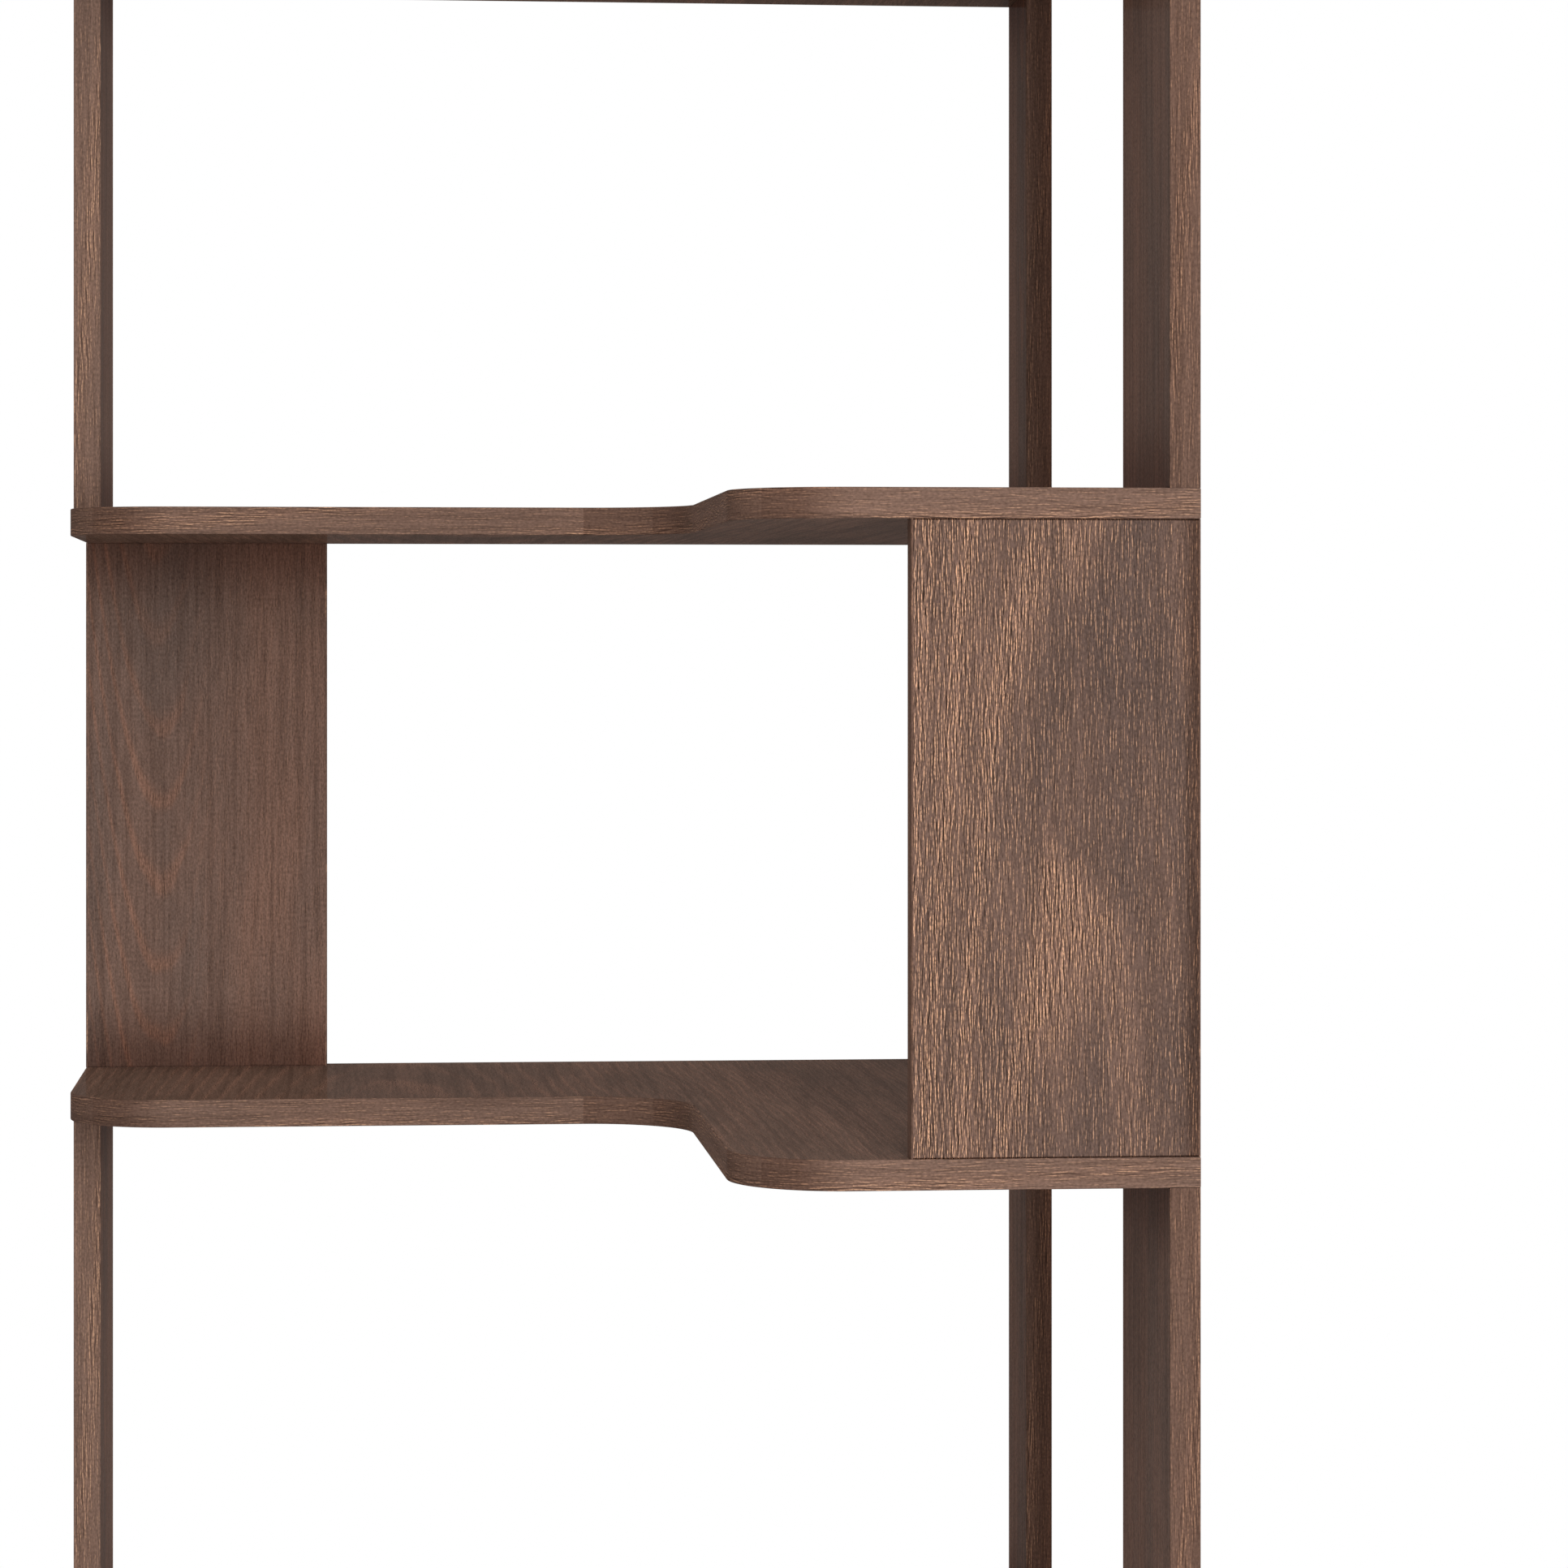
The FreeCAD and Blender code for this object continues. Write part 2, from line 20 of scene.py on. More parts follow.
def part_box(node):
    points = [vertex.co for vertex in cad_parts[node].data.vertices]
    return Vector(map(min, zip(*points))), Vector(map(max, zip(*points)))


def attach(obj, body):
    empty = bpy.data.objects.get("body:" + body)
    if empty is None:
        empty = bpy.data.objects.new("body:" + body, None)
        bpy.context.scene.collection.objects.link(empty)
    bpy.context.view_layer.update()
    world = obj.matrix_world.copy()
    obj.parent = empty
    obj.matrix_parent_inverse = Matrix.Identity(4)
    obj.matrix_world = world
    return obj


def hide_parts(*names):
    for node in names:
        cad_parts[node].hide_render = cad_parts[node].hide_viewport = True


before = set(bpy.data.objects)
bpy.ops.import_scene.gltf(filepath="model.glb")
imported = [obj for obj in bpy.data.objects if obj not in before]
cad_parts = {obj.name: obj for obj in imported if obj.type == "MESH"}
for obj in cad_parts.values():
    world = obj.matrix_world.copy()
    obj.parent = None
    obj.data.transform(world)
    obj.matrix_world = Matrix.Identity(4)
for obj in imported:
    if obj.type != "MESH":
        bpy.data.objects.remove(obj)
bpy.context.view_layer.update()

LOG = logging.getLogger("corner_bookcase")
MM = 0.001
BODY = "root"
X_AXIS, Y_AXIS, Z_AXIS = range(3)
LEFT = Vector((-1.0, 0.0, 0.0))
FRONT = Vector((0.0, -1.0, 0.0))
UP = Vector((0.0, 0.0, 1.0))
SAME_PLACE = 0.02 * MM
SAME_WAY = 0.999
FLAT = math.radians(1)
QUARTER_TURN = math.pi / 2

Colour = tuple[float, float, float, float]
Span = tuple[float, float]
Spread = tuple[float, float, float]
Piece = bpy.types.Object
Material = bpy.types.Material
Tree = bpy.types.NodeTree
Node = bpy.types.Node
Socket = bpy.types.NodeSocket
FaceTest = Callable[[bmesh.types.BMFace], bool]
EdgeTest = Callable[[bmesh.types.BMEdge], bool]


class Part(Enum):
    """Parts of a mesh that are picked in edit mode."""

    EDGE = "edges"
    FACE = "faces"


class Slot(Enum):
    """Names of the material slots of the boards and the edging; finish_piece is given one but doesn't
    use it.
    """

    BOARD = "walnut_board"
    EDGE = "walnut_edge"


class Side(Enum):
    """Places of the three uprights of a tier."""

    LEFT = "left"
    RIGHT = "right"
    CORNER = "corner"


class Run(Enum):
    """Axes across the grain, along it and into the board."""

    FRONT_TO_BACK = (X_AXIS, Y_AXIS, Z_AXIS)
    UPRIGHT_FACING_FRONT = (X_AXIS, Z_AXIS, Y_AXIS)
    UPRIGHT_FACING_SIDE = (Y_AXIS, Z_AXIS, X_AXIS)


# Hand tools


@contextmanager
def editing(piece: Piece) -> Iterator[None]:
    """Edit one piece, with nothing else selected and none of its mesh.

    Args:
        piece: the mesh object to edit.

    Returns:
        An iterator for the with statement, which leaves edit mode at its end.
    """
    use_alone(piece)
    bpy.ops.object.mode_set(mode="EDIT")
    bpy.ops.mesh.select_all(action="DESELECT")
    yield
    bpy.ops.object.mode_set(mode="OBJECT")


def use_alone(*pieces: Piece) -> None:
    """Select these pieces and nothing else.

    Args:
        pieces: what is selected; the first one is made active.
    """
    bpy.ops.object.select_all(action="DESELECT")
    for piece in pieces:
        piece.select_set(True)
    bpy.context.view_layer.objects.active = pieces[0]


def pick(piece: Piece, part: Part, test: FaceTest | EdgeTest) -> None:
    """Select the faces or edges of an edited piece that pass a test, and no others.

    Args:
        piece: the piece in edit mode.
        part: which of the two are selected.
        test: says whether one is wanted.
    """
    bpy.ops.mesh.select_mode(type=part.name)
    mesh = bmesh.from_edit_mesh(piece.data)
    for item in getattr(mesh, part.value):
        item.select_set(test(item))
    bmesh.update_edit_mesh(piece.data)


def is_near(value: float, place: float) -> bool:
    """Whether two lengths are the same place."""
    return abs(value - place) < SAME_PLACE


def runs_along(edge: bmesh.types.BMEdge, axis: int) -> bool:
    """Whether an edge runs along one axis alone."""
    first, second = (vert.co for vert in edge.verts)
    return all(is_near(first[other], second[other]) for other in range(3) if other != axis)


def looks(face: bmesh.types.BMFace, way: Vector) -> bool:
    """Whether a face looks one way."""
    return face.normal.dot(way) > SAME_WAY


def add_block(name: str, low: Vector, high: Vector) -> Piece:
    """Add a box between two corners, with its place in its mesh.

    Args:
        name: name of the piece.
        low: lowest corner.
        high: highest corner.

    Returns:
        The new mesh object.
    """
    bpy.ops.object.select_all(action="DESELECT")
    bpy.ops.mesh.primitive_cube_add(size=1.0, location=(low + high) / 2)
    block = bpy.context.active_object
    block.name = block.data.name = name
    block.scale = high - low
    bpy.ops.object.transform_apply(location=True, rotation=True, scale=True)
    return block


def bevel_picked(width: float, segments: int, profile: float = 0.5) -> None:
    """Round the selected edges of the edited piece, or cut a notch along them with a profile of 0."""
    bpy.ops.mesh.bevel(
        offset=width, segments=segments, profile=profile, affect="EDGES", clamp_overlap=False)


def pull_face(piece: Piece, test: FaceTest, shift: Vector) -> None:
    """Extrude the faces that pass a test by a shift."""
    pick(piece, Part.FACE, test)
    bpy.ops.mesh.extrude_region_move(TRANSFORM_OT_translate={"value": shift})


def smooth_over(piece: Piece, angle: float = math.radians(40)) -> None:
    """Shade rounded arrises smoothly and keep broad faces flat.

    Args:
        piece: the finished mesh.
        angle: edges that turn by more than this stay sharp.
    """
    use_alone(piece)
    bpy.ops.object.shade_smooth_by_angle(angle=angle)
    weighting = piece.modifiers.new("face_weights", "WEIGHTED_NORMAL")
    weighting.keep_sharp = True
    bpy.ops.object.modifier_apply(modifier=weighting.name)


def place_copy(piece: Piece, name: str, stance: Matrix) -> Piece:
    """Copy a modelled piece to where it stands, with a mesh of its own.

    Args:
        piece: the mesh object that was modelled.
        name: name of the copy.
        stance: how the copy is turned and moved.

    Returns:
        The copy.
    """
    copy = piece.copy()
    copy.data = piece.data.copy()
    copy.name = copy.data.name = name
    copy.data.transform(stance)
    bpy.context.scene.collection.objects.link(copy)
    return copy


def join_as(name: str, pieces: Sequence[Piece]) -> Piece:
    """Join pieces into one.

    Args:
        name: name of the joined piece.
        pieces: the mesh objects.

    Returns:
        The joined mesh object.
    """
    use_alone(*pieces)
    bpy.ops.object.join()
    joined = bpy.context.active_object
    joined.name = joined.data.name = name
    return joined


@dataclass(frozen=True)
class Hole:
    """A round blind hole, from its mouth inwards."""

    mouth: Vector
    inward: Vector
    radius: float
    depth: float
    sides: int = 32
    run_out: float = 2 * MM

    def add_cutter(self) -> Piece:
        """Add the drill that cuts this hole, which stands out of its mouth a little.

        Returns:
            The drill's mesh object.
        """
        bpy.ops.object.select_all(action="DESELECT")
        length = self.depth + self.run_out
        middle = self.mouth + self.inward * (length / 2 - self.run_out)
        bpy.ops.mesh.primitive_cylinder_add(
            vertices=self.sides, radius=self.radius, depth=length, location=middle,
            rotation=UP.rotation_difference(self.inward).to_euler())
        bpy.ops.object.transform_apply(location=True, rotation=True, scale=True)
        return bpy.context.active_object


def drill(piece: Piece, holes: Sequence[Hole]) -> None:
    """Cut round holes that don't meet each other.

    Args:
        piece: the mesh to cut.
        holes: what is cut in this pass.
    """
    cutter = join_as("drills", [hole.add_cutter() for hole in holes])
    cut = piece.modifiers.new("holes", "BOOLEAN")
    cut.operation = "DIFFERENCE"
    cut.solver = "EXACT"
    cut.object = cutter
    use_alone(piece)
    bpy.ops.object.modifier_apply(modifier=cut.name)
    bpy.data.objects.remove(cutter)


def corners_of(piece: Piece) -> list[Vector]:
    """Where each face corner of a piece lies, in the mesh's order."""
    return [piece.data.vertices[loop.vertex_index].co for loop in piece.data.loops]


def write_vectors(piece: Piece, name: str, values: Sequence[Vector]) -> None:
    """Store one vector for each face corner of a piece.

    Args:
        piece: the mesh object.
        name: name of the attribute that the finish reads.
        values: a vector for each face corner, in the mesh's order.
    """
    layers = piece.data.attributes
    layer = layers.get(name) or layers.new(name, "FLOAT_VECTOR", "CORNER")
    layer.data.foreach_set("vector", [number for value in values for number in value])


def finish_piece(piece: Piece, slot: Slot, material: Material, *nodes: str) -> None:
    """Give a piece its finish and say which nodes it stands for.

    Args:
        piece: the finished mesh object.
        slot: not used.
        material: what it is finished with.
        nodes: the frame's nodes that it replaces.
    """
    piece.data.materials.clear()
    piece.data.materials.append(material)
    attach(piece, BODY)
    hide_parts(*nodes)
    LOG.info("%s: %d faces, for %s", piece.name, len(piece.data.polygons), ", ".join(nodes))


# Shader work


class NodeDesk:
    """Adds nodes to one tree and links them."""

    def __init__(self, tree: Tree) -> None:
        """Work on this tree."""
        self.tree = tree

    def feed(self, socket: Socket, value: object) -> None:
        """Link a socket to another one, or set its value.

        Args:
            socket: the input.
            value: an output, a value, or None to leave the input as it is.
        """
        if isinstance(value, Socket):
            self.tree.links.new(value, socket)
        elif value is not None:
            socket.default_value = value

    def node(self, kind: str, *terms: object, **settings: object) -> Node:
        """Add a node.

        Args:
            kind: the node's type.
            terms: what its inputs get, in their order.
            settings: its properties by name.

        Returns:
            The new node.
        """
        node = self.tree.nodes.new(kind)
        for name, value in settings.items():
            setattr(node, name, value)
        for socket, term in zip(node.inputs, terms):
            self.feed(socket, term)
        return node

    def math(self, operation: str, *terms: object, clamp: bool = False) -> Socket:
        """A Math node over up to three terms."""
        return self.node("ShaderNodeMath", *terms, operation=operation, use_clamp=clamp).outputs[0]

    def vector(self, operation: str, *terms: object) -> Socket:
        """A Vector Math node's vector."""
        return self.node("ShaderNodeVectorMath", *terms, operation=operation).outputs[0]

    def scaled(self, vector: Socket, amount: Socket) -> Socket:
        """A vector or colour times a number."""
        return self.vector("SCALE", vector, None, None, amount)

    def split(self, vector: Socket) -> tuple[Socket, ...]:
        """The three numbers of a vector."""
        return tuple(self.node("ShaderNodeSeparateXYZ", vector).outputs)

    def join(self, *numbers: object) -> Socket:
        """A vector of three numbers."""
        return self.node("ShaderNodeCombineXYZ", *numbers).outputs[0]

    def noise(self, place: Socket, spread: Spread | None = None, detail: float = 2.0,
              roughness: float = 0.5) -> Node:
        """Add a noise, which puts out a number and a colour.

        Args:
            place: where it is read.
            spread: how fine it is along each axis, if it isn't 1 along all of them.
            detail: how many finer layers lie on it.
            roughness: how strong the finer layers are.

        Returns:
            The noise's node.
        """
        if spread:
            place = self.vector("MULTIPLY", place, spread)
        return self.node("ShaderNodeTexNoise", place, None, 1.0, detail, roughness)

    def swing(self, value: Socket, width: object, middle: object = 0.0) -> Socket:
        """A noise's number, from 0 to 1, as a swing of some width about a middle."""
        return self.math("MULTIPLY_ADD", self.math("SUBTRACT", value, 0.5), width, middle)

    def ease(self, value: Socket, low: object, high: object, first: float = 0.0,
             last: float = 1.0) -> Socket:
        """A smooth step of a value from one end of a range to the other."""
        terms = (value, low, high, first, last)
        return self.node("ShaderNodeMapRange", *terms, interpolation_type="SMOOTHSTEP").outputs[0]

    def blend(self, share: Socket, first: object, second: object, mode: str = "MIX") -> Socket:
        """Mix two colours by a share."""
        terms = (share, *[None] * 5, first, second)
        return self.node("ShaderNodeMix", *terms, data_type="RGBA", blend_type=mode).outputs[2]

    def bump(self, height: Socket, distance: float) -> Socket:
        """A normal that follows a height.

        Args:
            height: the relief, from 0 to 1.
            distance: how high 1 stands, in metres.

        Returns:
            The normal.
        """
        node = self.node("ShaderNodeBump")
        node.inputs["Distance"].default_value = distance
        self.feed(node.inputs["Height"], height)
        return node.outputs[0]

    def use(self, group: Tree, **terms: object) -> dict[str, Socket]:
        """Place a node group.

        Args:
            group: the group's tree.
            terms: what its inputs get, by name.

        Returns:
            Its outputs by name.
        """
        node = self.node("ShaderNodeGroup", node_tree=group)
        for name, term in terms.items():
            self.feed(node.inputs[name], term)
        return {socket.name: socket for socket in node.outputs}

    def read(self, name: str) -> Socket:
        """The vector of one of a piece's own attributes."""
        return self.node("ShaderNodeAttribute", attribute_name=name).outputs["Vector"]

    def close_group(self, **results: Socket) -> None:
        """Send results to the group's outputs.

        Args:
            results: what each output gets, by name.
        """
        last = self.node("NodeGroupOutput")
        for name, result in results.items():
            self.feed(last.inputs[name], result)


def new_material(name: str) -> tuple[Material, NodeDesk, Node]:
    """Start a material.

    Args:
        name: name of the material.

    Returns:
        The material, a desk on its tree and its shader.
    """
    material = bpy.data.materials.new(name)
    material.use_nodes = True
    return material, NodeDesk(material.node_tree), material.node_tree.nodes["Principled BSDF"]


def new_group(name: str, vectors: Sequence[str], numbers: Sequence[str],
              results: Sequence[str]) -> NodeDesk:
    """Start a shader node group with named sockets.

    Args:
        name: name of the group.
        vectors: names of its vector inputs.
        numbers: names of its number inputs.
        results: names of its number outputs.

    Returns:
        A desk on the new group's tree.
    """
    tree = bpy.data.node_groups.new(name, "ShaderNodeTree")
    kinds = ((vectors, "INPUT", "NodeSocketVector"), (numbers, "INPUT", "NodeSocketFloat"),
             (results, "OUTPUT", "NodeSocketFloat"))
    for titles, way, kind in kinds:
        for title in titles:
            tree.interface.new_socket(title, in_out=way, socket_type=kind)
    return NodeDesk(tree)


@dataclass(frozen=True)
class GrowthRings:
    """Bands of late wood on a saw cut along a tapering log: arches near the pith, lines beside it."""

    drift: Spread = (16.0, 5.0, 16.0)
    waver: float = 1.4
    band_start: Span = (0.40, 0.76)
    band_end: Span = (0.80, 1.0)
    clouds: Spread = (30.0, 7.0, 30.0)
    cloud_edge: Span = (0.35, 0.65)
    stripes: Spread = (230.0, 5.0, 230.0)
    stripe_edge: Span = (0.42, 0.66)
    detail: float = 3.0

    def make(self) -> Tree:
        """Build the node group.

        Returns:
            A group with the strength of bands, broad clouds and stripes at a place of the grain.
        """
        desk = new_group("growth_rings", ("Grain", "Cut"), ("Ring", "Wander"),
                         ("Band", "Cloud", "Stripe"))
        given = desk.node("NodeGroupInput").outputs
        drift, colours = desk.noise(given["Grain"], self.drift, self.detail).outputs
        side, _, _ = desk.split(colours)
        across, along, _ = desk.split(given["Grain"])
        axis, start, climb = desk.split(given["Cut"])
        from_axis = desk.swing(side, given["Wander"], desk.math("SUBTRACT", across, axis))
        height = desk.math("MULTIPLY_ADD", along, climb, start)
        level = desk.math("MULTIPLY_ADD", from_axis, from_axis, height)
        ring = desk.swing(drift, self.waver, desk.math("DIVIDE", level, given["Ring"]))
        step = desk.math("FRACT", ring)
        fall = desk.ease(step, *self.band_end, 1.0, 0.0)
        cloud = desk.noise(given["Grain"], self.clouds).outputs[0]
        stripe = desk.noise(given["Grain"], self.stripes, self.detail).outputs[0]
        desk.close_group(
            Band=desk.math("MULTIPLY", desk.ease(step, *self.band_start), fall),
            Cloud=desk.ease(cloud, *self.cloud_edge),
            Stripe=desk.ease(stripe, *self.stripe_edge))
        return desk.tree


@dataclass(frozen=True)
class WoodFibres:
    """Fine streaks along the grain: bright flecks and dark pores beside them, partly the grain's own
    streaks and partly painted highlight and shade of its relief, fibres and their relief.
    """

    sway: Spread = (45.0, 30.0, 45.0)
    sway_width: float = 2.2 * MM
    sway_detail: float = 3.0
    streak_roughness: float = 0.45
    beside: Spread = (0.5, 0.0, 0.0)
    few_above: float = 0.14
    many_above: float = 0.04
    streak_edge: float = 0.12
    softness: Spread = (0.6, 0.4, 0.6)
    grit: Spread = (1000.0, 520.0, 1000.0)
    grit_share: float = 0.65
    grit_edge: Span = (0.35, 0.6)
    least_fleck: float = 0.25
    fibre_relief: float = 0.4

    def make(self) -> Tree:
        """Build the node group.

        Returns:
            A group with the share of fleck, pore and fibre, and the height, at a place of the grain.
        """
        desk = new_group("wood_fibres", ("Grain",), ("Across", "Along", "Density"),
                         ("Fleck", "Pore", "Fibre", "Relief"))
        given = desk.node("NodeGroupInput").outputs
        across, along, depth = desk.split(given["Grain"])
        bend = desk.noise(given["Grain"], self.sway, self.sway_detail).outputs[0]
        swayed = desk.swing(bend, self.sway_width, across)
        fineness = desk.join(given["Across"], given["Along"], given["Across"])
        place = desk.vector("MULTIPLY", desk.join(swayed, along, depth), fineness)
        streak, beside = (
            desk.noise(spot, roughness=self.streak_roughness).outputs[0]
            for spot in (place, desk.vector("ADD", place, self.beside)))
        # The slope between two nearby streaks paints the relief's lit side as fleck, a painted
        # highlight, and its shaded side as pore, painted shade
        slope = desk.math("SUBTRACT", streak, beside)
        closer = self.many_above - self.few_above
        low = desk.math("MULTIPLY_ADD", given["Density"], closer, self.few_above)
        high = desk.math("ADD", low, self.streak_edge)
        soft = desk.noise(place, self.softness).outputs[0]
        grit = desk.noise(given["Grain"], self.grit).outputs[0]
        calm = desk.math("MULTIPLY", soft, 1 - self.grit_share)
        fibre = desk.math("MULTIPLY_ADD", grit, self.grit_share, calm)
        broken = desk.ease(grit, *self.grit_edge, self.least_fleck, 1.0)
        fleck = desk.math("MULTIPLY", desk.ease(slope, low, high), broken)
        pore = desk.ease(desk.math("MULTIPLY", slope, -1.0), low, high)
        relief = desk.math("SUBTRACT", desk.math("MULTIPLY_ADD", fibre, self.fibre_relief, fleck), pore)
        desk.close_group(Fleck=fleck, Pore=pore, Fibre=fibre, Relief=relief)
        return desk.tree


# A stretch across a board that begins at its edge, so that none of the board lies on it
NOWHERE: Span = (1.0, 1.1)


@dataclass(frozen=True)
class Shade:
    """A tone or a painted shade that a finish takes on towards part of its board, and where it begins
    and is full.
    """

    colour: Colour
    span: Span


@dataclass(frozen=True)
class WalnutFinish:
    """Stained and lacquered walnut, with its colours, figure and open grain.

    Args:
        name: name of the material.
        ground: colour of the plain wood.
        warm: colour of the bands and clouds.
        fleck: colour of the bright streaks, which are partly a painted highlight on the grain's relief.
        pore: colour of the dark streaks, which are partly painted shade beside the relief, and of the
            stripes.
        ring: how far apart the growth rings stand.
        wander: how far their axis wanders, in metres.
        across: how fine the streaks are across the grain.
        along: how fine they are along it.
        fleck_share: strength of the bright streaks.
        pore_share: strength of the dark streaks.
        band_share: strength of the bands.
        fibre_share: strength of the fibres.
        stripe_share: strength of the stripes.
        relief: how high the streaks stand, in metres.
        density: how closely the streaks stand outside the bands and in them.
        band_edge: how narrow the bands are; 1 leaves them as they grew.
        plain_side: where across the board the bands fade.
        plain_share: what is left of them there.
        rich_side: where across the board the streaks grow dense.
        rich_share: how dense they are there.
        cloud_share: how much of the bands shows only in the clouds.
        cloud_warmth: how much the clouds warm the wood.
        calm_share: how much of the streaks shows only in the bands.
        edge: tone towards the board's high side, if there is one.
        end: painted shade towards the board's ends, where they meet the shelves, if there is one.
        tone: tone that is laid on by the piece's stored share, if there is one; on the corner strips and
            the shelf's step it is painted shade.
        roughness: roughness of the wood and of its flecks.
        gloss: strength of the wood's own shine.
        lacquer: strength of the lacquer's shine.
        lacquer_roughness: roughness of the lacquer.
    """

    name: str
    ground: Colour
    warm: Colour
    fleck: Colour
    pore: Colour
    ring: float
    wander: float
    across: float
    along: float
    fleck_share: float
    pore_share: float
    band_share: float
    fibre_share: float
    stripe_share: float
    relief: float
    density: Span
    band_edge: float = 1.0
    plain_side: Span = NOWHERE
    plain_share: float = 0.2
    rich_side: Span = NOWHERE
    rich_share: float = 0.4
    cloud_share: float = 0.6
    cloud_warmth: float = 0.3
    calm_share: float = 0.45
    edge: Shade | None = None
    end: Shade | None = None
    tone: Colour | None = None
    roughness: Span = (0.85, 0.7)
    gloss: float = 0.02
    lacquer: float = 0.0
    lacquer_roughness: float = 0.1

    def make(self, rings: Tree, fibres: Tree) -> Material:
        """Build the material from the shared groups.

        Args:
            rings: the group of growth rings.
            fibres: the group of streaks and pores.

        Returns:
            The finished material.
        """
        material, desk, shader = new_material(self.name)
        grain = desk.read("grain")
        over, along, tone = desk.split(desk.read("place"))
        figure = desk.use(rings, Grain=grain, Cut=desk.read("cut"), Ring=self.ring, Wander=self.wander)
        dense = self._add_density(desk, figure, over)
        few, many = self.density
        density = desk.math("MULTIPLY_ADD", dense, many - few, few)
        streaks = desk.use(fibres, Grain=grain, Across=self.across, Along=self.along, Density=density)
        wood = self._add_colour(desk, figure, streaks, dense)
        if self.edge:
            wood = desk.blend(desk.ease(over, *self.edge.span), wood, self.edge.colour, "MULTIPLY")
        # Painted shade: the wood darkens towards both ends of the board
        if self.end:
            reach = desk.math("ABSOLUTE", along)
            wood = desk.blend(desk.ease(reach, *self.end.span), wood, self.end.colour, "MULTIPLY")
        # The stored tone: the strips' own colour, or painted shade on the corner strips and on the
        # shelf's step
        if self.tone:
            wood = desk.blend(tone, wood, self.tone, "MULTIPLY")
        desk.feed(shader.inputs["Base Color"], wood)
        desk.feed(shader.inputs["Roughness"], desk.ease(streaks["Fleck"], 0.0, 1.0, *self.roughness))
        desk.feed(shader.inputs["Normal"], desk.bump(streaks["Relief"], self.relief))
        shader.inputs["Specular IOR Level"].default_value = self.gloss
        shader.inputs["Coat Weight"].default_value = self.lacquer
        shader.inputs["Coat Roughness"].default_value = self.lacquer_roughness
        return material

    def _add_density(self, desk: NodeDesk, figure: dict[str, Socket], over: Socket) -> Socket:
        """Work out how closely the streaks stand: in bands, and on the board's rich side.

        Args:
            desk: the material's desk.
            figure: outputs of the growth rings.
            over: place across the board, from -1 to 1.

        Returns:
            The density, from 0 to 1.
        """
        cloud = desk.math("MULTIPLY_ADD", figure["Cloud"], self.cloud_share, 1 - self.cloud_share)
        shown = desk.math("MULTIPLY", desk.ease(over, *self.plain_side, 1.0, self.plain_share), cloud)
        band = desk.math("MULTIPLY", desk.math("POWER", figure["Band"], self.band_edge), shown)
        rich = desk.ease(over, *self.rich_side)
        return desk.math("MULTIPLY_ADD", rich, self.rich_share, band, clamp=True)

    def _add_colour(self, desk: NodeDesk, figure: dict[str, Socket], streaks: dict[str, Socket],
                    dense: Socket) -> Socket:
        """Lay the colours on each other: ground, warm bands, stripes, fibres, pores and flecks.

        Args:
            desk: the material's desk.
            figure: outputs of the growth rings.
            streaks: outputs of the wood fibres.
            dense: how closely the streaks stand.

        Returns:
            The wood's colour.
        """
        cloud = desk.math("MULTIPLY", figure["Cloud"], self.cloud_warmth)
        warmth = desk.math("MULTIPLY_ADD", dense, self.band_share, cloud, clamp=True)
        wood = desk.blend(warmth, self.ground, self.warm)
        wood = desk.blend(desk.math("MULTIPLY", figure["Stripe"], self.stripe_share), wood, self.pore)
        wood = desk.scaled(wood, desk.swing(streaks["Fibre"], self.fibre_share, 1.0))
        force = desk.math("MULTIPLY_ADD", dense, self.calm_share, 1 - self.calm_share)
        # Pores and flecks: the grain's own streaks, partly painted shade and painted highlight of its
        # relief
        layers = (("Pore", self.pore_share, self.pore), ("Fleck", self.fleck_share, self.fleck))
        for mask, share, colour in layers:
            strength = desk.math("MULTIPLY", desk.math("MULTIPLY", streaks[mask], force), share)
            wood = desk.blend(strength, wood, colour)
        return wood


@dataclass(frozen=True)
class FittingFinish:
    """A plain fitting's finish, with a fine cast, turned or moulded grain on it."""

    name: str
    light: Colour
    dark: Colour
    metal: float
    roughness: Span
    spread: Spread
    relief: float
    detail: float = 4.0
    detail_roughness: float = 0.6
    cloud_size: float = 12.0
    mottle: Span = (0.35, 0.65)

    def make(self) -> Material:
        """Build the material on the object's own place.

        Returns:
            The finished material.
        """
        material, desk, shader = new_material(self.name)
        place = desk.node("ShaderNodeTexCoord").outputs["Object"]
        speckle = desk.noise(place, self.spread, self.detail, self.detail_roughness).outputs[0]
        broad = tuple(fineness / self.cloud_size for fineness in self.spread)
        cloud = desk.noise(place, broad).outputs[0]
        mean = desk.math("MULTIPLY", desk.math("ADD", cloud, speckle), 0.5)
        share = desk.ease(mean, *self.mottle)
        desk.feed(shader.inputs["Base Color"], desk.blend(share, self.dark, self.light))
        desk.feed(shader.inputs["Roughness"], desk.ease(share, 0.0, 1.0, *self.roughness))
        desk.feed(shader.inputs["Normal"], desk.bump(speckle, self.relief))
        shader.inputs["Metallic"].default_value = self.metal
        return material


@dataclass(frozen=True)
class Cut:
    """How a board's rings lie: their axis from its middle, where they start and how fast they climb."""

    axis: float
    start: float
    climb: float
    seed: float


def grain_of(piece: Piece, run: Run, middle: Vector, cut: Cut) -> None:
    """Store where each face corner of a straight board lies in its grain.

    Args:
        piece: the mesh object.
        run: which way the grain runs.
        middle: the board's middle, from which the cut is measured.
        cut: how the board's rings lie.
    """
    start = Vector((cut.seed,) * 3)
    places = [corner - middle for corner in corners_of(piece)]
    grain = [start + Vector([place[axis] for axis in run.value]) for place in places]
    write_vectors(piece, "grain", grain)
    rings = Vector((cut.axis + cut.seed, cut.start - cut.climb * cut.seed, cut.climb))
    write_vectors(piece, "cut", [rings] * len(grain))


